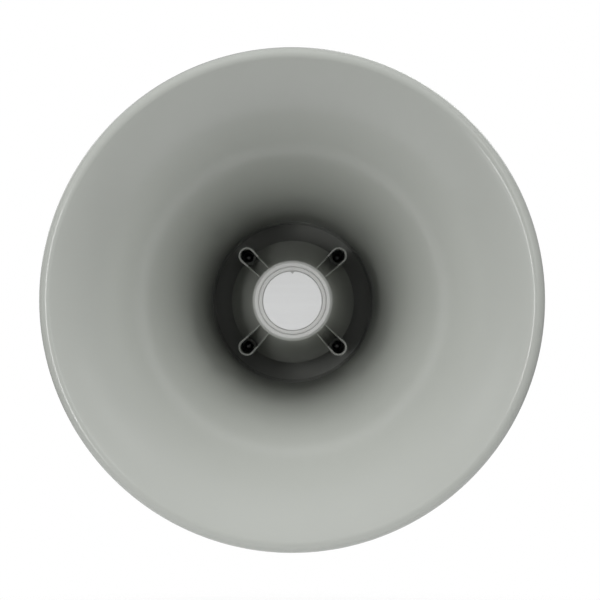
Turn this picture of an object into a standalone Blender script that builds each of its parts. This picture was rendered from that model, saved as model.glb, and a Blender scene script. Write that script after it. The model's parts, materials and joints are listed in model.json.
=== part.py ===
"""Re-entrant public-address horn on a U bracket, with its compression driver.

The horn's axis runs along Y and its mouth faces -Y. The origin is the middle of the bracket's outer
face, which lies against a wall. Sizes are metres. "Back" is the distance behind the mouth plane along the
horn's axis, and every turned outline is a list of (back, radius) points.
"""

import math

import bmesh
import bpy
from mathutils import Matrix, Vector
from mathutils.geometry import interpolate_bezier

# Clearances
GAP = 0.0003              # between faces that touch
SCREW_PLAY = 0.0003       # round a screw's shank in its hole
HOLE_SPARE = 0.0010       # depth of a blind hole beyond its screw's end
HEAD_WIDTH = 1.9          # a screw's head, as a share of its shank's radius
HEAD_HEIGHT = 1.3
PAST = 0.0100             # how far a cutting tool reaches past what it cuts
TURNING_PLAY = 0.0005     # round a shaft or a bolt that something turns on
MERGE = 0.000001          # corners nearer than this are one corner

# Bell
MOUTH_RADIUS = 0.2525
BELL_LENGTH = 0.3835      # mouth plane to the back of the bolting flange
BELL_SHEET = 0.0015
LIP_RADIUS = 0.0084
LIP_START = math.radians(25)
LIP_END = math.radians(210)
NECK_RADIUS = 0.0910
NECK_STRAIGHT = 0.0330    # straight part of the neck in front of the flange
FLARE_PULL = 0.1450       # how long the neck stays nearly straight
MOUTH_PULL = 0.1050       # how far the flare keeps its slope behind the lip
BELL_FLANGE_WIDTH = 0.0145
BELL_BOLT_INSET = 0.0060  # from the flange's edge to the bolt circle
BELL_BOLTS = 4
BELL_BOLT_RADIUS = 0.0025
BELL_BOLT_FLATS = 0.0080
BELL_BOLT_HEAD = 0.0035
BELL_BOLT_HOLD = 0.0088   # length of the bolt in the housing
BELL_GASKET = 0.0015

# Rear housing
DISC_THICKNESS = 0.0110
CONE_RADIUS = 0.0620      # cone where it leaves the disc
SHOULDER_RADIUS = 0.0330  # flat that the driver seats on
CONE_LENGTH = 0.0400      # back of the disc to the shoulder
STUB_RADIUS = 0.0173      # outside of the driver's screw thread
STUB_LENGTH = 0.0180
THROAT_RADIUS = 0.0105
HORN_GROWTH = 3.47        # growth of the throat horn's radius, per metre
LUG_RADIUS = 0.0150
LUG_PROUD = 0.0012        # the lug's outer face stands this far outside the disc's edge
PIVOT_BEHIND_DISC = 0.0085

# Throat horn
THROAT_WALL = 0.0018
THROAT_INSIDE_NOSE = 0.0280 # from the reflector's front to the throat horn's
THROAT_FLANGE_RADIUS = 0.0330
THROAT_FLANGE = 0.0030
THROAT_SCREWS = 3
THROAT_SCREW_CIRCLE = 0.0260

# Reflector
CAP_HEIGHT = 0.0080       # cap's front to the reflector's
REFLECTOR_LENGTH = 0.1720
REFLECTOR_OFF = 0.0556     # rim to the housing's face
REFLECTOR_NOSE = 0.0425
REFLECTOR_RIM = 0.0706
REFLECTOR_WALL = 0.0030
REFLECTOR_DISC = 0.0045
NOSE_PULL = 0.0450
NOSE_LEAN = 0.0015        # how far the nose widens over that pull
RIM_PULL = 0.0480
RIM_SLOPE = math.radians(30)
DEFLECTOR_HEIGHT = 0.0160
DEFLECTOR_RADIUS = 0.0280
WELLS = 4
WELL_CIRCLE = 0.0730
WELL_RADIUS = 0.0073
WELL_WALL = 0.0023
WELL_STEP = 0.0002        # the well is this much wider in its ear than in its leg
EAR_SETBACK = 0.1170      # reflector's front to the front of the wall round a well
RIB_SETBACK = 0.0040      # reflector's front to where an ear's two ribs leave the nose
RIB_END = 0.0080          # back of the ribs to the rim
RIB_SPACING = 0.0118       # between an ear's two ribs at the nose
RIB_WALL = 0.0013         # a rib's thickness at the nose
LEG_OVERLAP = 0.0380      # front of a leg to the rim
COLUMN_EXTRA = 0.0004     # the leg is this much thicker than the well's wall
WELL_FLOOR = 0.0110
WELL_SCREW_RADIUS = 0.0025
WELL_SCREW_HOLD = 0.0080  # length of the screw in the housing

# Cap and badge
CAP_RADIUS = 0.0428
CAP_CHAMFER = 0.0030
BADGE_RADIUS = 0.0314
BADGE_CLEARANCE = 0.0006
BADGE_THICKNESS = 0.0022
BADGE_DEPTH = 0.0001      # how far the badge lies under the cap's face
GROOVE_RADIUS = 0.0361
GROOVE_WIDTH = 0.0006
GROOVE_DEPTH = 0.0006
CAP_SCREW_POCKET = 0.0045 # radius of the hollow for the screw's head
CAP_SCREW_RADIUS = 0.0020
CAP_SCREW_HOLD = 0.0070

# U bracket
BRACKET_REACH = 0.1850    # outer face to the tilt axis
STRAP_THICKNESS = 0.0050
STRAP_WIDTH = 0.0500
STRAP_BEND = 0.0140       # outside radius of the bends
FRICTION_WASHER = 0.0030
FRICTION_WASHER_RADIUS = 0.0135
BASE_HOLE_RADIUS = 0.0045
BASE_HOLE_SPACING = 0.0800
TILT_BOLT_RADIUS = 0.0040
TILT_BOLT_HOLD = 0.0160
TILT_BOLT_HEAD = 0.0053
TILT_BOLT_FLATS = 0.0130
BOLT_WASHER = 0.0016
BOLT_WASHER_RADIUS = 0.0090

# Driver
DRIVER_RADIUS = 0.0550
DRIVER_WALL = 0.0045
DRIVER_GASKET = 0.0024
GASKET_INSET = 0.0006     # from a gasket's edge to the edge of its seat
DRIVER_COLLAR_STEP = 0.0012 # how far the collar stands out beyond the housing's shoulder
DRIVER_COLLAR = 0.0060    # length of the driver's collar
DRIVER_TAPER = 0.0160     # front face to the end of the taper
DRIVER_EDGE = 0.0045      # width of the rounded edge after the taper
DRIVER_LENGTH = 0.0680    # front face to the joint with the rear cover
SOCKET_DEPTH = 0.0156
SOCKET_LAND = 0.0030      # straight throat between the socket and the plug's chamber
PLUG_SEAT = 0.0230        # driver's front face to the phase plug's seat
PLUG_RADIUS = 0.0216
PLUG_THICKNESS = 0.0042
PLUG_HOLES = 6
PLUG_HOLE_RADIUS = 0.0030
PLUG_HOLE_CIRCLE = 0.0135
CHAMBER_BACK = 0.0280     # driver's front face to the diaphragm's seat
CHAMBER_RADIUS = 0.0415
SURROUND = 0.0008
SURROUND_RADIUS = 0.0405
CLAMP_THICKNESS = 0.0046
CLAMP_BORE = 0.0345
DOME_FLANGE_RADIUS = 0.0325
DOME_INSIDE_COIL = 0.0006 # the dome's edge lies this far inside the coil
DOME_HEIGHT = 0.0055
DOME_SHEET = 0.0006
MOTOR_SEAT = 0.0365       # driver's front face to the top plate
TOP_PLATE = 0.0060
TOP_PLATE_CLEARANCE = 0.0010
POLE_RADIUS = 0.0188
COIL_WALL = 0.0006
COIL_CLEARANCE = 0.0006
MAGNET_THICKNESS = 0.0150
MAGNET_RADIUS = 0.0400
MAGNET_BORE = 0.0235
YOKE_THICKNESS = 0.0060
MOTOR_SCREWS = 3
MOTOR_SCREW_RADIUS = 0.0015
MOTOR_SCREW_HOLD = 0.0060
COIL_TRAVEL = 0.0004      # either way from rest

# Rear cover
COVER_GASKET = 0.0015
COVER_LENGTH = 0.0500
COVER_BACK = 0.0040
COVER_WALL = 0.0032
COVER_EDGE = 0.0030
EAR_RADIUS = 0.0065
EAR_STANDOFF = 0.0048     # from the driver's side to an ear's screw
EAR_LENGTH = 0.0140
COVER_SCREWS = 4
COVER_SCREW_RADIUS = 0.0020
COVER_SCREW_HOLD = 0.0100

# Transformer and terminals
CORE_WIDTH = 0.0400
CORE_HEIGHT = 0.0340
CORE_STACK = 0.0160
CORE_LEG = 0.0134         # middle leg
CORE_WINDOW = 0.0066
CORE_WINDOW_HEIGHT = 0.0220
WINDING_DEPTH = 0.0270
WINDING_PLAY = 0.0003
STRAP_SHEET = 0.0012
STRAP_FOOT = 0.0130
STRAP_ACROSS = 0.0120
FOOT_SCREW_RADIUS = 0.0015
FOOT_SCREW_HOLD = 0.0035
TERMINAL_SIZE = Vector((0.0280, 0.0120, 0.0120))
TERMINAL_HEIGHT = 0.0275
LEAD_RADIUS = 0.0009
LEAD_SPACING = 0.0120
LEAD_BOW = 0.0090

# Tap switch, gland
SWITCH_RADIUS = 0.0095
SWITCH_LENGTH = 0.0150
SWITCH_DROP = 0.0260
KNOB_RADIUS = 0.0110
KNOB_LENGTH = 0.0100
KNOB_EDGE = 0.0010
POINTER_START = 0.0020    # from the shaft's axis to the inner end of the knob's pointer groove
POINTER_WIDTH = 0.0018
POINTER_DEPTH = 0.0012
SHAFT_RADIUS = 0.0030
SHAFT_LENGTH = 0.0090
GLAND_BEHIND_COVER_EDGE = 0.0270
GLAND_BOSS_RADIUS = 0.0125
GLAND_BOSS_HEIGHT = 0.0035
GLAND_THREAD_RADIUS = 0.0080
GLAND_THREAD_LENGTH = 0.0100
GLAND_FLATS = 0.0210
GLAND_HEX = 0.0055
GLAND_NUT_LENGTH = 0.0130
GLAND_NUT_TAPER = 0.0020
GLAND_BORE = 0.0038
GLAND_SEAL_RADIUS = 0.0062

# How finely round things are faceted
BELL_SIDES = 40
BODY_SIDES = 28
SMALL_SIDES = 20
SCREW_SIDES = 8
HEX_SIDES = 12            # points round a hexagon and the shank under it

SHARP_EDGE = math.radians(35)
QUARTER = math.pi / 2
EIGHTH = math.pi / 4

# Places that follow from the sizes above, as distances behind the mouth plane
HOUSING_FRONT = BELL_LENGTH + BELL_GASKET + 2 * GAP
REFLECTOR_BACK = HOUSING_FRONT - REFLECTOR_OFF
REFLECTOR_FRONT = REFLECTOR_BACK - REFLECTOR_LENGTH
CAP_FRONT = REFLECTOR_FRONT - CAP_HEIGHT
THROAT_FRONT = REFLECTOR_FRONT + THROAT_INSIDE_NOSE
EAR_FRONT = REFLECTOR_FRONT + EAR_SETBACK
RIB_FRONT = REFLECTOR_FRONT + RIB_SETBACK
RIB_BACK = REFLECTOR_BACK - RIB_END
COLUMN_FRONT = REFLECTOR_BACK - LEG_OVERLAP
DISC_BACK = HOUSING_FRONT + DISC_THICKNESS
SHOULDER_BACK = DISC_BACK + CONE_LENGTH
STUB_END = SHOULDER_BACK + STUB_LENGTH
PIVOT_BACK = DISC_BACK + PIVOT_BEHIND_DISC
DRIVER_FRONT = SHOULDER_BACK + DRIVER_GASKET + 2 * GAP
DRIVER_BACK = DRIVER_FRONT + DRIVER_LENGTH
MOTOR_FRONT = DRIVER_FRONT + MOTOR_SEAT + GAP
MAGNET_FRONT = MOTOR_FRONT + TOP_PLATE + GAP
YOKE_FRONT = MAGNET_FRONT + MAGNET_THICKNESS + GAP
YOKE_BACK = YOKE_FRONT + YOKE_THICKNESS
COVER_FRONT = DRIVER_BACK + COVER_GASKET + 2 * GAP
COVER_END = COVER_FRONT + COVER_LENGTH
FLANGE_RADIUS = NECK_RADIUS + BELL_FLANGE_WIDTH
BELL_BOLT_CIRCLE = FLANGE_RADIUS - BELL_BOLT_INSET
LUG_REACH = FLANGE_RADIUS + LUG_PROUD
STRAP_INSIDE = LUG_REACH + FRICTION_WASHER + 2 * GAP
STRAP_OUTSIDE = STRAP_INSIDE + STRAP_THICKNESS
WELL_SEAT = HOUSING_FRONT - GAP - WELL_FLOOR
COIL_BORE = POLE_RADIUS + COIL_CLEARANCE
COIL_OUTSIDE = COIL_BORE + COIL_WALL
DOME_RADIUS = COIL_BORE - DOME_INSIDE_COIL
DRIVER_BORE = DRIVER_RADIUS - DRIVER_WALL
TOP_PLATE_RADIUS = DRIVER_BORE - TOP_PLATE_CLEARANCE
MOTOR_SCREW_CIRCLE = (CHAMBER_RADIUS + DRIVER_BORE) / 2
EAR_CIRCLE = DRIVER_RADIUS + EAR_STANDOFF
GLAND_BOSS_REACH = DRIVER_RADIUS + GLAND_BOSS_HEIGHT


# Shapes

def offset(line, distance):
    """The line moved sideways by a distance, with its corners mitred."""
    moved = []
    for i, (a, b) in enumerate(line):
        ways = []
        if i > 0:
            ways.append(Vector((a - line[i - 1][0], b - line[i - 1][1])).normalized())
        if i < len(line) - 1:
            ways.append(Vector((line[i + 1][0] - a, line[i + 1][1] - b)).normalized())
        sides = [Vector((way.y, -way.x)) for way in ways]
        side = sum(sides, Vector((0, 0))) / len(sides)
        side = side * distance / side.length_squared
        moved.append((a + side.x, b + side.y))
    return moved


def sheet(line, thickness):
    """Closed outline of a sheet whose one face follows the line."""
    return line + offset(line, thickness)[::-1]


def curve(start, first_pull, second_pull, end, count):
    """Points along one Bezier stretch."""
    knots = [Vector(point) for point in (start, first_pull, second_pull, end)]
    return [tuple(point) for point in interpolate_bezier(*knots, count)]


def arc(centre, radius, first, last, count):
    """Points on an arc in the plane of an outline, both ends included."""
    angles = [first + (last - first) * i / (count - 1) for i in range(count)]
    return [(centre[0] + radius * math.cos(t), centre[1] + radius * math.sin(t)) for t in angles]


def turned(outline, segments):
    """Body with this outline all round the Y axis. An outline from axis to axis is left open there."""
    bm = bmesh.new()
    verts = [bm.verts.new((radius, back, 0)) for back, radius in outline]
    edges = [bm.edges.new(pair) for pair in zip(verts, verts[1:])]
    if outline[0][1] > 0 or outline[-1][1] > 0:
        edges.append(bm.edges.new((verts[-1], verts[0])))
    bmesh.ops.spin(bm, geom=verts + edges, cent=(0, 0, 0), axis=(0, 1, 0), angle=2 * math.pi, steps=segments)
    bmesh.ops.remove_doubles(bm, verts=bm.verts, dist=MERGE)
    return bm


def turned_sheet(outline, segments):
    """Turned body whose outline meets the axis twice in its middle."""
    split = next(i for i, point in enumerate(outline) if point[1] == 0)
    return turned(outline[split + 1:] + outline[:split + 1], segments)


def rod(start, end, radius, segments):
    return turned([(start, 0), (start, radius), (end, radius), (end, 0)], segments)


def lofted(rings):
    """Closed body through rings of equally many points."""
    bm = bmesh.new()
    rows = [[bm.verts.new(point) for point in ring] for ring in rings]
    for near, far in zip(rows, rows[1:]):
        for i in range(len(near)):
            j = (i + 1) % len(near)
            bm.faces.new((near[i], near[j], far[j], far[i]))
    bm.faces.new(rows[0])
    bm.faces.new(rows[-1])
    return bm


def prism(points, start, end, along):
    """Flat outline drawn out along one axis. Its points are the other two coordinates in X, Y, Z order."""
    place = {
        "X": lambda a, b, c: (c, a, b),
        "Y": lambda a, b, c: (a, c, b),
        "Z": lambda a, b, c: (a, b, c),
    }[along]
    return lofted([[place(a, b, c) for a, b in points] for c in (start, end)])


def box(low, high):
    corners = [(low[0], low[2]), (high[0], low[2]), (high[0], high[2]), (low[0], high[2])]
    return prism(corners, low[1], high[1], "Y")


def screw_head(shank_radius):
    """Radius and height of a screw's head."""
    return HEAD_WIDTH * shank_radius, HEAD_HEIGHT * shank_radius


def screw(shank_radius, length):
    """Cheese-head screw with the underside of its head at the origin and its shank along +Y."""
    head_radius, head_height = screw_head(shank_radius)
    outline = [
        (-head_height, 0),
        (-head_height, head_radius),
        (0, head_radius),
        (0, shank_radius),
        (length, shank_radius),
        (length, 0),
    ]
    return turned(outline, SCREW_SIDES)


def hex_ring(back, across_flats):
    """Hexagon with a point at each corner and at the middle of each side."""
    flat = across_flats / 2
    radii = [flat / math.cos(math.radians(30)), flat] * 6
    return [(r * math.cos(i * math.pi / 6), back, r * math.sin(i * math.pi / 6)) for i, r in enumerate(radii)]


def round_ring(back, radius):
    return [(radius * math.cos(i * math.pi / 6), back, radius * math.sin(i * math.pi / 6)) for i in range(12)]


def hex_bolt(across_flats, head_height, shank_radius, length):
    """Hexagon bolt with the underside of its head at the origin and its shank along +Y."""
    rings = [
        hex_ring(-head_height, across_flats),
        hex_ring(0, across_flats),
        round_ring(0, shank_radius),
        round_ring(length, shank_radius),
    ]
    return lofted(rings)


def ring_places(count, radius, first=EIGHTH):
    """Turns and places of things set evenly round the Y axis."""
    step = 2 * math.pi / count
    angles = [first + i * step for i in range(count)]
    return [(a, Vector((radius * math.cos(a), 0, radius * math.sin(a)))) for a in angles]


def gathered(bodies):
    """Several bodies in one bmesh."""
    whole = bmesh.new()
    scratch = bpy.data.meshes.new("scratch")
    for body in bodies:
        body.to_mesh(scratch)
        body.free()
        whole.from_mesh(scratch)
    bpy.data.meshes.remove(scratch)
    return whole


def set_round(make, count, radius, first=EIGHTH):
    """Copies of a body set evenly round the Y axis, each turned to face outward."""
    bodies = []
    for angle, place in ring_places(count, radius, first):
        body = make()
        body.transform(Matrix.Translation(place) @ Matrix.Rotation(-angle, 4, "Y"))
        bodies.append(body)
    return gathered(bodies)


# Objects

def material(name, colour, roughness, metallic=0.0):
    made = bpy.data.materials.new(name)
    made.use_nodes = True
    shader = made.node_tree.nodes["Principled BSDF"]
    shader.inputs["Base Color"].default_value = (*colour, 1)
    shader.inputs["Roughness"].default_value = roughness
    shader.inputs["Metallic"].default_value = metallic
    return made


def empty(name, parent, location):
    made = bpy.data.objects.new(name, None)
    made.parent = parent
    made.location = location
    bpy.context.collection.objects.link(made)
    return made


def add(name, bm, look, parent, location=(0, 0, 0), rotation=(0, 0, 0)):
    """Puts a body in the scene as one object."""
    bmesh.ops.recalc_face_normals(bm, faces=bm.faces)
    mesh = bpy.data.meshes.new(name)
    bm.to_mesh(mesh)
    bm.free()
    mesh.shade_smooth()
    mesh.set_sharp_from_angle(angle=SHARP_EDGE)
    if look:
        mesh.materials.append(look)
    made = bpy.data.objects.new(name, mesh)
    made.parent = parent
    made.location = location
    made.rotation_euler = rotation
    bpy.context.collection.objects.link(made)
    return made


def add_tool(name, bm, parent, location=(0, 0, 0)):
    """A shape that only cuts or joins others."""
    made = add(name, bm, None, parent, location)
    made.hide_render = True
    made.display_type = "WIRE"
    return made


def combine(target, tool, operation):
    """Joins or cuts, and makes one corner of any two the cut leaves in the same place."""
    step = target.modifiers.new(tool.name, "BOOLEAN")
    step.object = tool
    step.operation = operation
    step.solver = "EXACT"
    weld = target.modifiers.new(tool.name + "_weld", "WELD")
    weld.merge_threshold = MERGE


def add_horn_tool(name, bm):
    return add_tool(name, bm, TILT, HORN)


def add_ring_of(name, make, look, count, radius, back, first=EIGHTH, flip=False):
    """The same fastener set evenly round the horn's axis, pointing back, or forward if flipped."""
    for number, (angle, place) in enumerate(ring_places(count, radius, first), 1):
        turn = (0, angle, math.pi) if flip else (0, -angle, 0)
        add(f"{name}_{number}", make(), look, TILT, HORN + place + Vector((0, back, 0)), turn)


# Bell

def bell_line():
    """Inner face of the bell's sheet, from the flange's edge to the end of the rolled lip."""
    lip_centre = (LIP_RADIUS, MOUTH_RADIUS - LIP_RADIUS)
    lip = arc(lip_centre, LIP_RADIUS, math.pi + LIP_START, QUARTER, 5)
    lip += arc(lip_centre, LIP_RADIUS, QUARTER, math.pi - LIP_END, 4)[1:]
    start = (BELL_LENGTH - NECK_STRAIGHT, NECK_RADIUS)
    end = lip[0]
    lean = Vector((math.sin(LIP_START), -math.cos(LIP_START))) * MOUTH_PULL
    pulled = (end[0] + lean.x, end[1] + lean.y)
    flare = curve(start, (start[0] - FLARE_PULL, NECK_RADIUS), pulled, end, 8)
    return [(BELL_LENGTH, FLANGE_RADIUS), (BELL_LENGTH, NECK_RADIUS)] + flare[:-1] + lip


def make_bell():
    shell = turned(sheet(bell_line(), BELL_SHEET), BELL_SIDES)
    bell = add("outer_bell", shell, LOOKS["bell_paint"], TILT, HORN)
    hole = BELL_BOLT_RADIUS + SCREW_PLAY
    start, end = BELL_LENGTH - PAST, BELL_LENGTH + PAST
    holes = set_round(lambda: rod(start, end, hole, HEX_SIDES), BELL_BOLTS, BELL_BOLT_CIRCLE)
    combine(bell, add_horn_tool("bell_flange_holes", holes), "DIFFERENCE")

    front = BELL_LENGTH + GAP
    back = front + BELL_GASKET
    inside = NECK_RADIUS - BELL_SHEET
    outline = [(front, inside), (front, FLANGE_RADIUS), (back, FLANGE_RADIUS), (back, inside)]
    gasket = add("bell_gasket", turned(outline, BODY_SIDES), LOOKS["rubber"], TILT, HORN)
    holes = set_round(lambda: rod(start, end, hole, HEX_SIDES), BELL_BOLTS, BELL_BOLT_CIRCLE)
    combine(gasket, add_horn_tool("bell_gasket_holes", holes), "DIFFERENCE")

    head_back = BELL_LENGTH - BELL_SHEET - GAP
    length = HOUSING_FRONT + BELL_BOLT_HOLD - head_back
    add_ring_of("bell_bolt", lambda: hex_bolt(BELL_BOLT_FLATS, BELL_BOLT_HEAD, BELL_BOLT_RADIUS, length),
                LOOKS["zinc"], BELL_BOLTS, BELL_BOLT_CIRCLE, head_back)


# Rear housing and throat horn

def throat_radius(back):
    """Radius of the sound path from the stub's end forward."""
    return THROAT_RADIUS * math.exp(HORN_GROWTH * (STUB_END - back))


def make_housing():
    outline = [
        (HOUSING_FRONT, throat_radius(HOUSING_FRONT)),
        (HOUSING_FRONT, FLANGE_RADIUS),
        (DISC_BACK, FLANGE_RADIUS),
        (DISC_BACK, CONE_RADIUS),
        (SHOULDER_BACK, SHOULDER_RADIUS),
        (SHOULDER_BACK, STUB_RADIUS),
        (STUB_END, STUB_RADIUS),
        (STUB_END, THROAT_RADIUS),
    ]
    housing = add("rear_housing", turned(outline, BODY_SIDES), LOOKS["housing_paint"], TILT, HORN)

    lug = rod(-LUG_REACH, -0.6 * CONE_RADIUS, LUG_RADIUS, SMALL_SIDES)
    other = rod(0.6 * CONE_RADIUS, LUG_REACH, LUG_RADIUS, SMALL_SIDES)
    lugs = gathered([lug, other])
    lugs.transform(Matrix.Translation((0, PIVOT_BACK, 0)) @ Matrix.Rotation(-QUARTER, 4, "Z"))
    combine(housing, add_horn_tool("tilt_lugs", lugs), "UNION")

    deep = LUG_REACH - TILT_BOLT_HOLD - HOLE_SPARE
    hole = TILT_BOLT_RADIUS + SCREW_PLAY
    bores = gathered([rod(side * deep, side * (LUG_REACH + PAST), hole, HEX_SIDES) for side in (-1, 1)])
    bores.transform(Matrix.Translation((0, PIVOT_BACK, 0)) @ Matrix.Rotation(-QUARTER, 4, "Z"))
    combine(housing, add_horn_tool("tilt_bores", bores), "DIFFERENCE")

    before = HOUSING_FRONT - PAST
    bolt_end = HOUSING_FRONT + BELL_BOLT_HOLD + HOLE_SPARE
    screw_end = HOUSING_FRONT + WELL_SCREW_HOLD + HOLE_SPARE
    bolt_hole = BELL_BOLT_RADIUS + SCREW_PLAY
    screw_hole = WELL_SCREW_RADIUS + SCREW_PLAY
    holes = [
        set_round(lambda: rod(before, bolt_end, bolt_hole, HEX_SIDES), BELL_BOLTS, BELL_BOLT_CIRCLE),
        set_round(lambda: rod(before, screw_end, screw_hole, SCREW_SIDES), WELLS, WELL_CIRCLE),
        set_round(lambda: rod(before, screw_end, screw_hole, SCREW_SIDES), THROAT_SCREWS, THROAT_SCREW_CIRCLE,
                  QUARTER),
    ]
    combine(housing, add_horn_tool("housing_screw_holes", gathered(holes)), "DIFFERENCE")


def make_throat_horn():
    back = HOUSING_FRONT - GAP
    flange_front = back - THROAT_FLANGE
    count = 5
    stations = [THROAT_FRONT + (back - THROAT_FRONT) * i / (count - 1) for i in range(count)]
    inside = [(s, throat_radius(s)) for s in stations]
    outside = [(s, r + THROAT_WALL) for s, r in inside[:-1]]
    outside.append((flange_front, throat_radius(flange_front) + THROAT_WALL))
    flange = [(flange_front, THROAT_FLANGE_RADIUS), (back, THROAT_FLANGE_RADIUS)]
    tube = turned(outside + flange + inside[::-1], SMALL_SIDES)
    throat = add("throat_horn", tube, LOOKS["bare_aluminium"], TILT, HORN)
    hole = WELL_SCREW_RADIUS + SCREW_PLAY
    holes = set_round(lambda: rod(flange_front - PAST, back + PAST, hole, SCREW_SIDES), THROAT_SCREWS,
                      THROAT_SCREW_CIRCLE, QUARTER)
    combine(throat, add_horn_tool("throat_flange_holes", holes), "DIFFERENCE")
    length = THROAT_FLANGE + WELL_SCREW_HOLD
    add_ring_of("throat_screw", lambda: screw(WELL_SCREW_RADIUS, length), LOOKS["zinc"], THROAT_SCREWS,
                THROAT_SCREW_CIRCLE, flange_front - GAP, QUARTER)


# Reflector

def reflector_line():
    """Outer face of the reflector's shell, from its nose to its rim."""
    start = (REFLECTOR_FRONT, REFLECTOR_NOSE)
    end = (REFLECTOR_BACK, REFLECTOR_RIM)
    lean = Vector((math.cos(RIM_SLOPE), math.sin(RIM_SLOPE))) * RIM_PULL
    nose = (start[0] + NOSE_PULL, start[1] + NOSE_LEAN)
    return curve(start, nose, (end[0] - lean.x, end[1] - lean.y), end, 7)


def well_walls():
    """Two ribs and the wall round one well, whose centre is the origin. The axis lies towards -X."""
    inner_end = REFLECTOR_NOSE - REFLECTOR_WALL / 4 - WELL_CIRCLE
    near = RIB_SPACING / 2
    far = near + RIB_WALL
    bend = arc((0, 0), WELL_RADIUS + WELL_STEP, -QUARTER, QUARTER, 7)
    inside = [(inner_end, -near)] + bend + [(inner_end, near)]
    bend = arc((0, 0), WELL_RADIUS + WELL_WALL, -QUARTER, QUARTER, 7)
    outside = [(inner_end, -far)] + bend + [(inner_end, far)]
    return prism(outside + inside[::-1], RIB_FRONT - PAST, RIB_BACK, "Y")


def ear_fronts():
    """Space in front of the ears: the ribs slope back from the nose to the flat front of each well's wall."""
    ear_inside = WELL_CIRCLE - WELL_RADIUS - WELL_WALL
    ear_outside = WELL_CIRCLE + WELL_RADIUS + WELL_WALL
    front = RIB_FRONT - 2 * PAST
    return turned([
        (front, 0),
        (front, ear_outside + PAST),
        (EAR_FRONT, ear_outside + PAST),
        (EAR_FRONT, ear_inside),
        (RIB_FRONT, REFLECTOR_NOSE - REFLECTOR_WALL),
        (RIB_FRONT, 0),
    ], BODY_SIDES)


def make_reflector():
    outer = reflector_line()
    inner = offset(outer, REFLECTOR_WALL)
    disc_back = REFLECTOR_FRONT + REFLECTOR_DISC
    inside = [point for point in inner if point[0] > disc_back + REFLECTOR_WALL]
    outline = [(REFLECTOR_FRONT, 0)] + outer + inside[::-1] + [
        (disc_back, inner[0][1]),
        (disc_back, DEFLECTOR_RADIUS),
        (disc_back + DEFLECTOR_HEIGHT, 0),
    ]
    reflector = add("reflector", turned(outline, BODY_SIDES), LOOKS["reflector_paint"], TILT, HORN)

    walls = add_horn_tool("well_walls", set_round(well_walls, WELLS, WELL_CIRCLE))
    middle = offset(outer, REFLECTOR_WALL / 2)
    core_front = RIB_FRONT - 2 * PAST
    core = [(core_front, 0), (core_front, middle[0][1])] + middle
    core += [(REFLECTOR_BACK + PAST, middle[-1][1]), (REFLECTOR_BACK + PAST, 0)]
    combine(walls, add_horn_tool("ear_fronts", ear_fronts()), "DIFFERENCE")
    combine(walls, add_horn_tool("reflector_core", turned(core, BODY_SIDES)), "DIFFERENCE")
    combine(reflector, walls, "UNION")

    leg = WELL_RADIUS + WELL_WALL + COLUMN_EXTRA
    legs = set_round(lambda: rod(COLUMN_FRONT, HOUSING_FRONT - GAP, leg, 12), WELLS, WELL_CIRCLE)
    combine(reflector, add_horn_tool("reflector_legs", legs), "UNION")
    wells = set_round(lambda: rod(COLUMN_FRONT - PAST, WELL_SEAT, WELL_RADIUS, 12), WELLS, WELL_CIRCLE)
    combine(reflector, add_horn_tool("wells", wells), "DIFFERENCE")
    hole = WELL_SCREW_RADIUS + SCREW_PLAY
    start, end = WELL_SEAT - WELL_FLOOR / 4, HOUSING_FRONT + PAST
    holes = set_round(lambda: rod(start, end, hole, SCREW_SIDES), WELLS, WELL_CIRCLE)
    cap_hole_end = REFLECTOR_FRONT + CAP_SCREW_HOLD + HOLE_SPARE
    cap_hole = rod(REFLECTOR_FRONT - PAST, cap_hole_end, CAP_SCREW_RADIUS + SCREW_PLAY, SCREW_SIDES)
    combine(reflector, add_horn_tool("reflector_holes", gathered([holes, cap_hole])), "DIFFERENCE")

    length = WELL_FLOOR + GAP + WELL_SCREW_HOLD
    add_ring_of("reflector_screw", lambda: screw(WELL_SCREW_RADIUS, length), LOOKS["zinc"], WELLS,
                WELL_CIRCLE, WELL_SEAT - GAP)


def make_cap():
    back = REFLECTOR_FRONT - GAP
    floor = CAP_FRONT + BADGE_DEPTH + BADGE_THICKNESS + GAP
    recess = BADGE_RADIUS + BADGE_CLEARANCE
    head_seat = floor + screw_head(CAP_SCREW_RADIUS)[1] + 2 * GAP
    groove = [
        (CAP_FRONT, GROOVE_RADIUS - GROOVE_WIDTH / 2),
        (CAP_FRONT + GROOVE_DEPTH, GROOVE_RADIUS - GROOVE_WIDTH / 2),
        (CAP_FRONT + GROOVE_DEPTH, GROOVE_RADIUS + GROOVE_WIDTH / 2),
        (CAP_FRONT, GROOVE_RADIUS + GROOVE_WIDTH / 2),
    ]
    outline = [
        (floor, CAP_SCREW_POCKET),
        (floor, recess),
        (CAP_FRONT, recess),
        *groove,
        (CAP_FRONT, CAP_RADIUS - CAP_CHAMFER),
        (CAP_FRONT + CAP_CHAMFER, CAP_RADIUS),
        (back, CAP_RADIUS),
        (back, CAP_SCREW_RADIUS + SCREW_PLAY),
        (head_seat, CAP_SCREW_RADIUS + SCREW_PLAY),
        (head_seat, CAP_SCREW_POCKET),
    ]
    add("cap_ring", turned(outline, BODY_SIDES), LOOKS["cap_paint"], TILT, HORN)
    badge_front = CAP_FRONT + BADGE_DEPTH
    badge = rod(badge_front, badge_front + BADGE_THICKNESS, BADGE_RADIUS, BODY_SIDES)
    add("badge_disc", badge, LOOKS["badge_metal"], TILT, HORN)
    length = back - head_seat + CAP_SCREW_HOLD
    place = HORN + Vector((0, head_seat - GAP, 0))
    add("cap_screw", screw(CAP_SCREW_RADIUS, length), LOOKS["zinc"], TILT, place)


# Bracket

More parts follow.
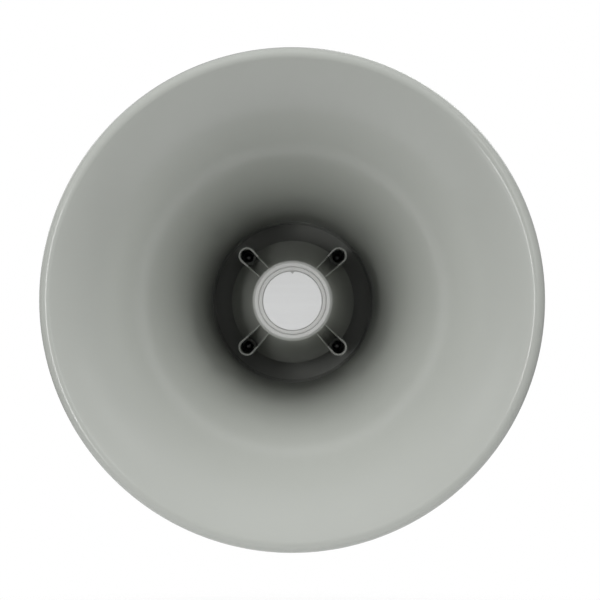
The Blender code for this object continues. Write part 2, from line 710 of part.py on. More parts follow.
def make_bracket():
    corner = STRAP_OUTSIDE - STRAP_BEND
    arm_end = -BRACKET_REACH - STRAP_WIDTH
    left = arc((-corner, -STRAP_BEND), STRAP_BEND, math.pi, QUARTER, 5)
    right = arc((corner, -STRAP_BEND), STRAP_BEND, QUARTER, 0, 5)
    line = [(-STRAP_OUTSIDE, arm_end)] + left + right + [(STRAP_OUTSIDE, arm_end)]
    half = STRAP_WIDTH / 2
    strap = prism(sheet(line, STRAP_THICKNESS), -half - PAST, half + PAST, "Z")
    bracket = add("bracket", strap, LOOKS["bracket_paint"], BASE)

    side = arc((-BRACKET_REACH, 0), half, -QUARTER, -3 * QUARTER, 13) + [(PAST, half), (PAST, -half)]
    wide = STRAP_OUTSIDE + PAST
    combine(bracket, add_tool("arm_shape", prism(side, -wide, wide, "X"), BASE), "INTERSECT")

    hole = rod(-wide, wide, TILT_BOLT_RADIUS + TURNING_PLAY, SMALL_SIDES)
    hole.transform(Matrix.Translation((0, -BRACKET_REACH, 0)) @ Matrix.Rotation(-QUARTER, 4, "Z"))
    holes = [hole]
    for side_sign in (-1, 1):
        base_hole = rod(-2 * STRAP_THICKNESS, STRAP_THICKNESS, BASE_HOLE_RADIUS, SMALL_SIDES)
        base_hole.transform(Matrix.Translation((side_sign * BASE_HOLE_SPACING / 2, 0, 0)))
        holes.append(base_hole)
    combine(bracket, add_tool("bracket_holes", gathered(holes), BASE), "DIFFERENCE")


def washer(inside, outside, thickness, segments):
    return turned([(0, inside), (0, outside), (thickness, outside), (thickness, inside)], segments)


def make_tilt_fasteners():
    """A friction washer inside each arm, and a bolt with its washer outside it."""
    bore = TILT_BOLT_RADIUS + SCREW_PLAY
    seat = STRAP_OUTSIDE + BOLT_WASHER + 2 * GAP
    length = seat - LUG_REACH + TILT_BOLT_HOLD
    for name, side in (("left", -1), ("right", 1)):
        inward = (0, 0, side * QUARTER)
        friction = washer(bore, FRICTION_WASHER_RADIUS, FRICTION_WASHER, SMALL_SIDES)
        add(f"friction_washer_{name}", friction, LOOKS["fibre"], TILT,
            (side * (LUG_REACH + GAP + FRICTION_WASHER), 0, 0), inward)
        flat = washer(bore, BOLT_WASHER_RADIUS, BOLT_WASHER, SMALL_SIDES)
        add(f"bolt_washer_{name}", flat, LOOKS["zinc"], TILT, (side * (seat - GAP), 0, 0), inward)
        bolt = hex_bolt(TILT_BOLT_FLATS, TILT_BOLT_HEAD, TILT_BOLT_RADIUS, length)
        add(f"tilt_bolt_{name}", bolt, LOOKS["zinc"], TILT, (side * seat, 0, 0), inward)


# Driver

def make_driver_body():
    front = SHOULDER_BACK + GAP
    hole = STUB_RADIUS + SCREW_PLAY
    back = front + DRIVER_GASKET
    inside = hole + GASKET_INSET
    outside = SHOULDER_RADIUS - GASKET_INSET
    outline = [(front, inside), (front, outside), (back, outside), (back, inside)]
    add("driver_gasket", turned(outline, SMALL_SIDES), LOOKS["rubber"], TILT, HORN)

    plug_seat = DRIVER_FRONT + PLUG_SEAT
    chamber = DRIVER_FRONT + CHAMBER_BACK
    motor = DRIVER_FRONT + MOTOR_SEAT
    outline = [
        (DRIVER_FRONT, hole),
        (DRIVER_FRONT, SHOULDER_RADIUS + DRIVER_COLLAR_STEP),
        (DRIVER_FRONT + DRIVER_COLLAR, SHOULDER_RADIUS + 3 * DRIVER_COLLAR_STEP),
        (DRIVER_FRONT + DRIVER_TAPER, DRIVER_RADIUS - DRIVER_EDGE),
        (DRIVER_FRONT + DRIVER_TAPER + DRIVER_EDGE, DRIVER_RADIUS),
        (DRIVER_BACK, DRIVER_RADIUS),
        (DRIVER_BACK, DRIVER_BORE),
        (motor, DRIVER_BORE),
        (motor, CHAMBER_RADIUS),
        (chamber, CHAMBER_RADIUS),
        (chamber, PLUG_RADIUS + GAP),
        (plug_seat, PLUG_RADIUS + GAP),
        (plug_seat, PLUG_HOLE_CIRCLE + PLUG_HOLE_RADIUS),
        (DRIVER_FRONT + SOCKET_DEPTH + SOCKET_LAND, THROAT_RADIUS),
        (DRIVER_FRONT + SOCKET_DEPTH, THROAT_RADIUS),
        (DRIVER_FRONT + SOCKET_DEPTH, hole),
    ]
    body = add("driver_body", turned(outline, BODY_SIDES), LOOKS["driver_paint"], TILT, HORN)
    ear_front = DRIVER_BACK - EAR_LENGTH
    ears = set_round(lambda: rod(ear_front, DRIVER_BACK, EAR_RADIUS, 12), COVER_SCREWS, EAR_CIRCLE)
    bore = rod(ear_front - PAST, DRIVER_BACK + PAST, DRIVER_RADIUS - DRIVER_WALL / 2, BODY_SIDES)
    ears = add_horn_tool("driver_ears", ears)
    combine(ears, add_horn_tool("driver_ear_bore", bore), "DIFFERENCE")
    combine(body, ears, "UNION")
    deep = DRIVER_BACK - COVER_SCREW_HOLD - HOLE_SPARE
    radius = COVER_SCREW_RADIUS + SCREW_PLAY
    holes = set_round(lambda: rod(deep, DRIVER_BACK + PAST, radius, SCREW_SIDES), COVER_SCREWS, EAR_CIRCLE)
    motor_deep = motor - MOTOR_SCREW_HOLD - HOLE_SPARE
    motor_hole = MOTOR_SCREW_RADIUS + SCREW_PLAY
    more = set_round(lambda: rod(motor_deep, motor + PAST, motor_hole, SCREW_SIDES), MOTOR_SCREWS,
                     MOTOR_SCREW_CIRCLE, QUARTER)
    combine(body, add_horn_tool("driver_screw_holes", gathered([holes, more])), "DIFFERENCE")


def make_diaphragm_set():
    plug_front = DRIVER_FRONT + PLUG_SEAT + GAP
    disc = rod(plug_front, plug_front + PLUG_THICKNESS, PLUG_RADIUS, SMALL_SIDES)
    plug = add("phase_plug", disc, LOOKS["dark_plastic"], TILT, HORN)
    start, end = plug_front - PAST, plug_front + PLUG_THICKNESS + PAST
    holes = set_round(lambda: rod(start, end, PLUG_HOLE_RADIUS, SCREW_SIDES), PLUG_HOLES, PLUG_HOLE_CIRCLE)
    combine(plug, add_horn_tool("phase_plug_holes", holes), "DIFFERENCE")

    seat = DRIVER_FRONT + CHAMBER_BACK + GAP
    inner = DOME_FLANGE_RADIUS + GAP
    end = seat + SURROUND
    outline = [(seat, inner), (seat, SURROUND_RADIUS), (end, SURROUND_RADIUS), (end, inner)]
    add("diaphragm_surround", turned(outline, SMALL_SIDES), LOOKS["fabric_surround"], TILT, HORN)
    front = seat + SURROUND + GAP
    back = front + CLAMP_THICKNESS
    outline = [(front, CLAMP_BORE), (front, SURROUND_RADIUS), (back, SURROUND_RADIUS), (back, CLAMP_BORE)]
    add("clamp_ring", turned(outline, SMALL_SIDES), LOOKS["bare_aluminium"], TILT, HORN)

    flange = 2 * COIL_TRAVEL
    dome = arc((flange, 0), 1, QUARTER, 0, 5)
    outer = [(flange + DOME_HEIGHT * (a - flange), DOME_RADIUS * b) for a, b in dome]
    inner = [(a + DOME_SHEET, b) for a, b in outer[:-1]]
    outline = [(flange, DOME_FLANGE_RADIUS)] + outer[:-1] + [(outer[-1][0], 0)]
    outline += [(outer[-1][0] + DOME_SHEET, 0)] + inner[::-1] + [(flange + DOME_SHEET, DOME_FLANGE_RADIUS)]
    add("diaphragm", turned_sheet(outline, SMALL_SIDES), LOOKS["film"], SLIDE)
    coil_front = flange + DOME_SHEET + GAP
    coil_back = MOTOR_FRONT + TOP_PLATE - DIAPHRAGM_SEAT
    outline = [
        (coil_front, COIL_BORE),
        (coil_front, COIL_OUTSIDE),
        (coil_back, COIL_OUTSIDE),
        (coil_back, COIL_BORE),
    ]
    add("voice_coil", turned(outline, SMALL_SIDES), LOOKS["copper"], SLIDE)


def make_motor():
    plate_back = MOTOR_FRONT + TOP_PLATE
    bore = COIL_OUTSIDE + COIL_CLEARANCE
    outline = [
        (MOTOR_FRONT, bore),
        (MOTOR_FRONT, TOP_PLATE_RADIUS),
        (plate_back, TOP_PLATE_RADIUS),
        (plate_back, bore),
    ]
    plate = add("top_plate", turned(outline, SMALL_SIDES), LOOKS["steel"], TILT, HORN)
    hole = MOTOR_SCREW_RADIUS + SCREW_PLAY
    holes = set_round(lambda: rod(MOTOR_FRONT - PAST, plate_back + PAST, hole, SCREW_SIDES), MOTOR_SCREWS,
                      MOTOR_SCREW_CIRCLE, QUARTER)
    combine(plate, add_horn_tool("top_plate_holes", holes), "DIFFERENCE")
    back = MAGNET_FRONT + MAGNET_THICKNESS
    outline = [
        (MAGNET_FRONT, MAGNET_BORE),
        (MAGNET_FRONT, MAGNET_RADIUS),
        (back, MAGNET_RADIUS),
        (back, MAGNET_BORE),
    ]
    add("magnet", turned(outline, SMALL_SIDES), LOOKS["ferrite"], TILT, HORN)
    outline = [
        (MOTOR_FRONT, 0),
        (MOTOR_FRONT, POLE_RADIUS),
        (YOKE_FRONT, POLE_RADIUS),
        (YOKE_FRONT, MAGNET_RADIUS),
        (YOKE_BACK, MAGNET_RADIUS),
        (YOKE_BACK, 0),
    ]
    yoke = add("pole_yoke", turned(outline, SMALL_SIDES), LOOKS["steel"], TILT, HORN)
    foot = CORE_WIDTH / 2 + STRAP_SHEET + STRAP_FOOT / 2
    hole = FOOT_SCREW_RADIUS + SCREW_PLAY
    deep = YOKE_BACK - FOOT_SCREW_HOLD - HOLE_SPARE
    holes = set_round(lambda: rod(deep, YOKE_BACK + PAST, hole, SCREW_SIDES), 2, foot, 0)
    combine(yoke, add_horn_tool("yoke_holes", holes), "DIFFERENCE")
    length = TOP_PLATE + GAP + MOTOR_SCREW_HOLD
    add_ring_of("motor_screw", lambda: screw(MOTOR_SCREW_RADIUS, length), LOOKS["zinc"], MOTOR_SCREWS,
                MOTOR_SCREW_CIRCLE, plate_back + GAP, QUARTER, flip=True)


# Transformer, terminals and leads

def make_transformer():
    middle = YOKE_BACK + GAP + WINDING_DEPTH / 2 + GAP
    half_stack = CORE_STACK / 2
    half_width = CORE_WIDTH / 2
    window_in = CORE_LEG / 2
    window_out = window_in + CORE_WINDOW
    window_top = CORE_WINDOW_HEIGHT / 2
    corner = Vector((half_width, half_stack, CORE_HEIGHT / 2))
    centre = Vector((0, middle, 0))
    core = add("transformer_core", box(centre - corner, centre + corner), LOOKS["lamination"], TILT, HORN)
    windows = []
    for side in (-1, 1):
        near, far = sorted((side * window_in, side * window_out))
        windows.append(box((near, middle - CORE_STACK, -window_top), (far, middle + CORE_STACK, window_top)))
    combine(core, add_horn_tool("core_windows", gathered(windows)), "DIFFERENCE")

    wide = window_out - WINDING_PLAY
    tall = window_top - WINDING_PLAY
    deep = WINDING_DEPTH / 2
    winding = add("transformer_winding", box((-wide, middle - deep, -tall), (wide, middle + deep, tall)),
                  LOOKS["winding_tape"], TILT, HORN)
    leg = window_in + WINDING_PLAY
    half_slot = half_stack + WINDING_PLAY
    hole = box((-leg, middle - half_slot, -CORE_HEIGHT), (leg, middle + half_slot, CORE_HEIGHT))
    combine(winding, add_horn_tool("winding_hole", hole), "DIFFERENCE")

    side = half_width + GAP
    feet = YOKE_BACK + GAP
    over = middle + deep + GAP
    foot_end = side + STRAP_FOOT + STRAP_SHEET
    line = [(-foot_end, feet), (-side - STRAP_SHEET, feet), (-side - STRAP_SHEET, over + STRAP_SHEET)]
    line += [(-x, y) for x, y in line[::-1]]
    half = STRAP_ACROSS / 2
    strap = prism(sheet(line, -STRAP_SHEET), -half, half, "Z")
    strap = add("transformer_strap", strap, LOOKS["zinc_sheet"], TILT, HORN)
    foot = half_width + STRAP_SHEET + STRAP_FOOT / 2
    hole = FOOT_SCREW_RADIUS + SCREW_PLAY
    holes = set_round(lambda: rod(feet - PAST, feet + PAST, hole, SCREW_SIDES), 2, foot, 0)
    combine(strap, add_horn_tool("strap_holes", holes), "DIFFERENCE")
    length = STRAP_SHEET + GAP + FOOT_SCREW_HOLD
    add_ring_of("transformer_screw", lambda: screw(FOOT_SCREW_RADIUS, length), LOOKS["zinc"], 2, foot,
                feet + STRAP_SHEET + GAP, 0, flip=True)

    low = Vector((-TERMINAL_SIZE.x / 2, YOKE_BACK + GAP, TERMINAL_HEIGHT - TERMINAL_SIZE.z / 2))
    add("terminal_block", box(low, low + TERMINAL_SIZE), LOOKS["dark_plastic"], TILT, HORN)
    winding_back = middle + deep
    lead_z = tall - 2 * LEAD_RADIUS
    make_leads(low.y + TERMINAL_SIZE.y, winding_back, lead_z)


def make_leads(block_back, winding_back, winding_z):
    """Two leads from the terminal block, bowed over to the back of the winding."""
    for number, side in enumerate((-1, 1), 1):
        x = side * LEAD_SPACING / 2
        block = Vector((x, block_back + GAP, TERMINAL_HEIGHT))
        end = Vector((x, winding_back + GAP, winding_z))
        bow = end.y + LEAD_BOW
        knots = [block, Vector((x, bow, TERMINAL_HEIGHT)), Vector((x, bow, winding_z)), end]
        spline_points = interpolate_bezier(*knots, 14)
        data = bpy.data.curves.new(f"lead_wire_{number}", "CURVE")
        data.dimensions = "3D"
        data.bevel_depth = LEAD_RADIUS
        data.bevel_resolution = 2
        data.use_fill_caps = True
        spline = data.splines.new("POLY")
        spline.points.add(len(spline_points) - 1)
        for point, place in zip(spline.points, spline_points):
            point.co = (*place, 1)
        data.materials.append(LOOKS["lead_insulation"])
        lead = bpy.data.objects.new(data.name, data)
        lead.parent = TILT
        lead.location = HORN
        bpy.context.collection.objects.link(lead)


# Rear cover, tap switch and gland

def make_rear_cover():
    front = DRIVER_BACK + GAP
    back = front + COVER_GASKET
    inside = DRIVER_BORE + GASKET_INSET
    outside = DRIVER_RADIUS - GASKET_INSET
    outline = [(front, inside), (front, outside), (back, outside), (back, inside)]
    add("cover_gasket", turned(outline, BODY_SIDES), LOOKS["rubber"], TILT, HORN)

    wall = DRIVER_RADIUS - COVER_WALL
    outline = [
        (COVER_END - COVER_BACK, 0),
        (COVER_END - COVER_BACK, wall),
        (COVER_FRONT, wall),
        (COVER_FRONT, DRIVER_RADIUS),
        (COVER_END - COVER_EDGE, DRIVER_RADIUS),
        (COVER_END, DRIVER_RADIUS - COVER_EDGE),
        (COVER_END, 0),
    ]
    cover = add("rear_cover", turned(outline, BODY_SIDES), LOOKS["driver_paint"], TILT, HORN)
    ear_back = COVER_FRONT + EAR_LENGTH
    ears = set_round(lambda: rod(COVER_FRONT, ear_back, EAR_RADIUS, 12), COVER_SCREWS, EAR_CIRCLE)
    root = wall + COVER_WALL / 3
    gland_boss = rod(root, GLAND_BOSS_REACH, GLAND_BOSS_RADIUS, SMALL_SIDES)
    gland_boss.transform(GLAND_FRAME)
    bosses = add_horn_tool("cover_bosses", gathered([ears, gland_boss]))
    bore = rod(COVER_FRONT - PAST, COVER_END - COVER_BACK, wall + COVER_WALL / 4, BODY_SIDES)
    combine(bosses, add_horn_tool("cover_bore", bore), "DIFFERENCE")
    combine(cover, bosses, "UNION")

    radius = COVER_SCREW_RADIUS + SCREW_PLAY
    start, end = COVER_FRONT - PAST, ear_back + PAST
    holes = set_round(lambda: rod(start, end, radius, SCREW_SIDES), COVER_SCREWS, EAR_CIRCLE)
    gland_hole = rod(wall - PAST, GLAND_BOSS_REACH + PAST, GLAND_THREAD_RADIUS + SCREW_PLAY, HEX_SIDES)
    gland_hole.transform(GLAND_FRAME)
    shaft_hole = rod(COVER_END - 2 * COVER_BACK, COVER_END + PAST, SHAFT_RADIUS + TURNING_PLAY, SMALL_SIDES)
    shaft_hole.transform(Matrix.Translation((0, 0, -SWITCH_DROP)))
    combine(cover, add_horn_tool("cover_holes", gathered([holes, gland_hole, shaft_hole])), "DIFFERENCE")

    length = EAR_LENGTH + COVER_GASKET + 3 * GAP + COVER_SCREW_HOLD
    add_ring_of("cover_screw", lambda: screw(COVER_SCREW_RADIUS, length), LOOKS["zinc"], COVER_SCREWS,
                EAR_CIRCLE, ear_back + GAP, flip=True)


def make_tap_switch():
    back = COVER_END - COVER_BACK - GAP
    front = back - SWITCH_LENGTH
    shaft_front = COVER_END - SHAFT_LENGTH
    bore = SHAFT_RADIUS + TURNING_PLAY
    outline = [(front, 0), (front, SWITCH_RADIUS), (back, SWITCH_RADIUS), (back, bore),
               (shaft_front - GAP, bore), (shaft_front - GAP, 0)]
    place = HORN + Vector((0, 0, -SWITCH_DROP))
    add("tap_switch", turned(outline, SMALL_SIDES), LOOKS["dark_plastic"], TILT, place)
    outline = [
        (-SHAFT_LENGTH, 0),
        (-SHAFT_LENGTH, SHAFT_RADIUS),
        (TURNING_PLAY, SHAFT_RADIUS),
        (TURNING_PLAY, KNOB_RADIUS),
        (KNOB_LENGTH - KNOB_EDGE, KNOB_RADIUS),
        (KNOB_LENGTH, KNOB_RADIUS - KNOB_EDGE),
        (KNOB_LENGTH, 0),
    ]
    knob = add("selector_knob", turned(outline, SMALL_SIDES), LOOKS["knob_plastic"], TILT,
               HORN + Vector((0, COVER_END, -SWITCH_DROP)))
    half = POINTER_WIDTH / 2
    floor = KNOB_LENGTH - POINTER_DEPTH
    slot = box((-half, floor, POINTER_START), (half, KNOB_LENGTH + PAST, 2 * KNOB_RADIUS))
    combine(knob, add_tool("knob_pointer", slot, knob), "DIFFERENCE")


def make_gland():
    """Cable gland screwed into the boss under the cover, drawn from the horn's axis outward."""
    seat = GLAND_BOSS_REACH + GAP
    hex_end = seat + GLAND_HEX
    body = lofted([
        round_ring(seat - GLAND_THREAD_LENGTH, GLAND_THREAD_RADIUS),
        round_ring(seat, GLAND_THREAD_RADIUS),
        hex_ring(seat, GLAND_FLATS),
        hex_ring(hex_end, GLAND_FLATS),
    ])
    body.transform(GLAND_FRAME)
    body = add("gland_body", body, LOOKS["gland_plastic"], TILT, HORN)
    hole = rod(seat - GLAND_THREAD_LENGTH - PAST, hex_end + PAST, GLAND_BORE, HEX_SIDES)
    hole.transform(GLAND_FRAME)
    combine(body, add_horn_tool("gland_bore", hole), "DIFFERENCE")

    seal_start = hex_end + GAP
    seal_end = seal_start + 0.7 * GLAND_NUT_LENGTH
    outline = [(seal_start, GLAND_BORE), (seal_start, GLAND_SEAL_RADIUS), (seal_end, GLAND_SEAL_RADIUS),
               (seal_end, GLAND_BORE)]
    seal = turned(outline, HEX_SIDES)
    seal.transform(GLAND_FRAME)
    add("gland_seal", seal, LOOKS["rubber"], TILT, HORN)

    inside = GLAND_SEAL_RADIUS + GAP
    end = seal_start + GLAND_NUT_LENGTH
    outline = [
        (seal_start, inside),
        (seal_start, 0.46 * GLAND_FLATS),
        (seal_end - GLAND_NUT_TAPER, 0.46 * GLAND_FLATS),
        (end, GLAND_BORE + GLAND_NUT_TAPER),
        (end, GLAND_BORE + GAP),
        (seal_end + GAP, GLAND_BORE + GAP),
        (seal_end + GAP, inside),
    ]
    nut = turned(outline, HEX_SIDES)
    nut.transform(GLAND_FRAME)
    add("gland_nut", nut, LOOKS["gland_plastic"], TILT, HORN)


LOOK_VALUES = {
    "bell_paint": ((0.50, 0.51, 0.48), 0.35),
    "housing_paint": ((0.48, 0.49, 0.46), 0.45),
    "reflector_paint": ((0.46, 0.47, 0.44), 0.40),
    "cap_paint": ((0.50, 0.50, 0.48), 0.40),
    "bracket_paint": ((0.48, 0.49, 0.46), 0.45),
    "driver_paint": ((0.48, 0.49, 0.46), 0.45),
    "dark_plastic": ((0.02, 0.02, 0.02), 0.50),
    "knob_plastic": ((0.02, 0.02, 0.02), 0.40),
    "gland_plastic": ((0.10, 0.10, 0.10), 0.50),
    "rubber": ((0.03, 0.03, 0.03), 0.80),
    "fibre": ((0.12, 0.06, 0.03), 0.70),
    "fabric_surround": ((0.20, 0.12, 0.05), 0.80),
    "film": ((0.35, 0.22, 0.10), 0.40),
    "winding_tape": ((0.60, 0.45, 0.08), 0.50),
    "lead_insulation": ((0.45, 0.03, 0.02), 0.50),
    "ferrite": ((0.04, 0.04, 0.045), 0.60),
}
METAL_VALUES = {
    "badge_metal": ((0.62, 0.62, 0.62), 0.40),
    "bare_aluminium": ((0.70, 0.70, 0.71), 0.40),
    "steel": ((0.45, 0.45, 0.46), 0.35),
    "zinc": ((0.60, 0.60, 0.62), 0.30),
    "zinc_sheet": ((0.58, 0.58, 0.60), 0.35),
    "lamination": ((0.20, 0.20, 0.21), 0.50),
    "copper": ((0.80, 0.36, 0.20), 0.35),
}

for old in list(bpy.data.objects):
    bpy.data.objects.remove(old, do_unlink=True)

LOOKS = {name: material(name, *values) for name, values in LOOK_VALUES.items()}
LOOKS.update({name: material(name, *values, metallic=1.0) for name, values in METAL_VALUES.items()})

BASE = empty("bracket_frame", None, (0, 0, 0))
TILT = empty("tilt_axis", BASE, (0, -BRACKET_REACH, 0))
HORN = Vector((0, -PIVOT_BACK, 0))
DIAPHRAGM_SEAT = DRIVER_FRONT + CHAMBER_BACK + GAP
SLIDE = empty("diaphragm_slide", TILT, HORN + Vector((0, DIAPHRAGM_SEAT, 0)))
GLAND_BACK = COVER_FRONT + GLAND_BEHIND_COVER_EDGE
GLAND_FRAME = Matrix.Translation((0, GLAND_BACK, 0)) @ Matrix.Rotation(-QUARTER, 4, "X")

make_bracket()
make_tilt_fasteners()
make_bell()
make_housing()
make_throat_horn()
make_reflector()
make_cap()
make_driver_body()
make_diaphragm_set()
make_motor()
make_transformer()
make_rear_cover()
make_tap_switch()
make_gland()
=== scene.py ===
"""Looks of the re-entrant public-address horn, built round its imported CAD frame.

Sizes are metres. The horn's axis runs along Y and its mouth faces -Y. "Back" is the distance behind the mouth
plane. A turned outline is a list of (back, radius) points.
"""

import json
import math

import bmesh
import bpy
from mathutils import Matrix, Vector
from mathutils.geometry import interpolate_bezier


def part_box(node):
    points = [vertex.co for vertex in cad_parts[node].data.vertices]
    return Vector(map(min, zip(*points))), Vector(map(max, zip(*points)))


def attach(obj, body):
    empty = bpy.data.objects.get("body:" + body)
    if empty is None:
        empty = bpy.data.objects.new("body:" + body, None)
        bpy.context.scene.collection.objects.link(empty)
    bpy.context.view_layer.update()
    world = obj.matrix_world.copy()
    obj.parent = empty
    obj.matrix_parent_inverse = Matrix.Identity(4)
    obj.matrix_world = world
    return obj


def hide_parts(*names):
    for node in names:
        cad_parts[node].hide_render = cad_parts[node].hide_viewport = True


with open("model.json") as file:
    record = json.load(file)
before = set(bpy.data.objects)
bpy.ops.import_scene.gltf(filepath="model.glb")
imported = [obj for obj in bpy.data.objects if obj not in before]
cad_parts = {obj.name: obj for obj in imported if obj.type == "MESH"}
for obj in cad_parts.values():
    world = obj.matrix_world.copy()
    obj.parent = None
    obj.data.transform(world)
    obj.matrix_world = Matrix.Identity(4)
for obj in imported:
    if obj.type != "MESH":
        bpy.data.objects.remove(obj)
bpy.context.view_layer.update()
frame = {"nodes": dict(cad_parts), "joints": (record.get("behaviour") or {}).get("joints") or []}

QUARTER = math.pi / 2
EIGHTH = math.pi / 4

# Places read from the frame
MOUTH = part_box("outer_bell")[0].y
PIVOT = Vector(frame["joints"][0]["pos_m"])
MOUTH_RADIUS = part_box("outer_bell")[1].x


def back_of(node, side):
    """How far behind the mouth plane a node begins (side 0) or ends (side 1)."""
    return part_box(node)[side].y - MOUTH


BELL_END = back_of("outer_bell", 1)
HOUSING_FRONT = back_of("rear_housing", 0)
STUB_END = back_of("rear_housing", 1)
PIVOT_BACK = PIVOT.y - MOUTH
CAP_FRONT = back_of("cap_ring", 0)
REFLECTOR_FRONT = back_of("reflector", 0)
DRIVER_FRONT = back_of("driver_body", 0)
DRIVER_BACK = back_of("driver_body", 1)
COVER_FRONT = back_of("rear_cover", 0)
COVER_END = back_of("rear_cover", 1)
STRAP_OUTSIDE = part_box("bracket")[1].x
LUG_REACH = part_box("rear_housing")[1].x
FLANGE_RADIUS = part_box("bell_gasket")[1].x

# Shapes that the frame's boxes don't give
GAP = 0.0003              # between faces that touch
PAST = 0.0100             # how far a cutting tool reaches past what it cuts
BELL_SHEET = 0.0015
LIP_RADIUS = 0.0084
LIP_START = math.radians(25)
LIP_END = math.radians(210)
NECK_RADIUS = 0.0910
NECK_STRAIGHT = 0.0330
FLARE_PULL = 0.1450
MOUTH_PULL = 0.1050
REFLECTOR_NOSE = 0.0425
REFLECTOR_RIM = 0.0706
REFLECTOR_BACK = 0.3300
REFLECTOR_WALL = 0.0030
REFLECTOR_DISC = 0.0045   # thickness of the reflector's closed front
NOSE_PULL = 0.0450
NOSE_LEAN = 0.0015
RIM_PULL = 0.0480
RIM_SLOPE = math.radians(30)
DEFLECTOR_RADIUS = 0.0280
DEFLECTOR_HEIGHT = 0.0160
WELLS = 4
WELL_CIRCLE = 0.0730
WELL_RADIUS = 0.0073
WELL_WALL = 0.0023
WELL_FLOOR = 0.0110       # under the well screw's head
EAR_FRONT = 0.2750
RIB_FRONT = 0.1620
RIB_BACK = 0.3220
RIB_SPACING = 0.0118
RIB_WALL = 0.0013
WELL_START = 0.2920 - 0.0040
LEG_FRONT = 0.3150        # a leg shows from here back, behind its ear
LEG_EXTRA = 0.0004        # the leg is this much thicker than the well's wall
CAP_RADIUS = 0.0428
BADGE_RADIUS = 0.0314
BADGE_PLAY = 0.0006
BADGE_EASE = 0.0004
GROOVE_RADIUS = 0.0361
GROOVE_HALF = 0.0006
GROOVE_DEPTH = 0.0016
STRAP_THICKNESS = 0.0050
DRIVER_RADIUS = 0.0550
EAR_CIRCLE = 0.0598       # circle of the cover screws

BELL_SIDES = 192
BODY_SIDES = 96
SMALL_SIDES = 48
SEAM_MERGE = 0.00001      # corners nearer than this are one, which closes a turned body's seam


# Shapes

def offset(line, distance):
    """The line moved sideways by a distance, with its corners mitred."""
    moved = []
    for i, (a, b) in enumerate(line):
        ways = []
        if i > 0:
            ways.append(Vector((a - line[i - 1][0], b - line[i - 1][1])).normalized())
        if i < len(line) - 1:
            ways.append(Vector((line[i + 1][0] - a, line[i + 1][1] - b)).normalized())
        sides = [Vector((way.y, -way.x)) for way in ways]
        side = sum(sides, Vector((0, 0))) / len(sides)
        side = side * distance / side.length_squared
        moved.append((a + side.x, b + side.y))
    return moved


def sheet(line, thickness):
    """Closed outline of a sheet whose one face follows the line."""
    return line + offset(line, thickness)[::-1]


def curve(start, first_pull, second_pull, end, count):
    knots = [Vector(point) for point in (start, first_pull, second_pull, end)]
    return [tuple(point) for point in interpolate_bezier(*knots, count)]


def arc(centre, radius, first, last, count):
    angles = [first + (last - first) * i / (count - 1) for i in range(count)]
    return [(centre[0] + radius * math.cos(t), centre[1] + radius * math.sin(t)) for t in angles]


def rounded(outline, size, steps=4):
    """The outline with each real corner eased. Points on the axis stay where they are."""
    points = [Vector(point) for point in outline]
    eased = []
    for i, point in enumerate(points):
        before = points[i - 1] - point
        after = points[(i + 1) % len(points)] - point
        if point.y < 1e-7 or before.angle(after) > math.radians(155):
            eased.append(point)
            continue
        cut = min(size, 0.45 * before.length, 0.45 * after.length)
        near = point + before.normalized() * cut
        far = point + after.normalized() * cut
        for step in range(steps + 1):
            t = step / steps
            eased.append(near * (1 - t) ** 2 + point * 2 * t * (1 - t) + far * t * t)
    return [tuple(point) for point in eased]


def turned(outline, sides):
    """Body with this outline all round the Y axis. An outline from axis to axis is left open there."""
    bm = bmesh.new()
    verts = [bm.verts.new((radius, back, 0)) for back, radius in outline]
    edges = [bm.edges.new(pair) for pair in zip(verts, verts[1:])]
    if outline[0][1] > 0 or outline[-1][1] > 0:
        edges.append(bm.edges.new((verts[-1], verts[0])))
    bmesh.ops.spin(bm, geom=verts + edges, cent=(0, 0, 0), axis=(0, 1, 0), angle=2 * math.pi, steps=sides)
    bmesh.ops.remove_doubles(bm, verts=bm.verts, dist=SEAM_MERGE)
    return bm


def rod(start, end, radius, sides, ease=0.0):
    outline = [(start, 0), (start, radius), (end, radius), (end, 0)]
    return turned(rounded(outline, ease) if ease else outline, sides)


def lofted(rings):
    """Closed body through rings of equally many points."""
    bm = bmesh.new()
    rows = [[bm.verts.new(point) for point in ring] for ring in rings]
    for near, far in zip(rows, rows[1:]):
        for i in range(len(near)):
            j = (i + 1) % len(near)
            bm.faces.new((near[i], near[j], far[j], far[i]))
    bm.faces.new(rows[0])
    bm.faces.new(rows[-1])
    return bm


def prism(points, start, end, along):
    """Flat outline drawn out along one axis. Its points are the other two coordinates in X, Y, Z order."""
    place = {
        "X": lambda a, b, c: (c, a, b),
        "Y": lambda a, b, c: (a, c, b),
        "Z": lambda a, b, c: (a, b, c),
    }[along]
    return lofted([[place(a, b, c) for a, b in points] for c in (start, end)])


def box(low, high):
    corners = [(low[0], low[2]), (high[0], low[2]), (high[0], high[2]), (low[0], high[2])]
    return prism(corners, low[1], high[1], "Y")


def ring(back, radius_at, count=48):
    """Points round the Y axis whose radius may change with the angle."""
    points = []
    for i in range(count):
        t = 2 * math.pi * i / count
        radius = radius_at(t) if callable(radius_at) else radius_at
        points.append((radius * math.cos(t), back, radius * math.sin(t)))
    return points


def hexagon(across_flats):
    """Radius of a hexagon at an angle."""
    third = math.pi / 3
    return lambda t: across_flats / 2 / math.cos((t + third / 2) % third - third / 2)


def fluted(radius, depth, count):
    """Radius of a round grip with shallow flutes at an angle."""
    return lambda t: radius - depth * (0.5 + 0.5 * math.cos(count * t)) ** 2


def placed(bm, *steps):
    """The body after a chain of transforms, first one first."""
    for step in steps:
        bm.transform(step)
    return bm


def gathered(bodies):
    """Several bodies in one bmesh."""
    whole = bmesh.new()
    scratch = bpy.data.meshes.new("scratch")
    for body in bodies:
        body.to_mesh(scratch)
        body.free()
        whole.from_mesh(scratch)
    bpy.data.meshes.remove(scratch)
    return whole


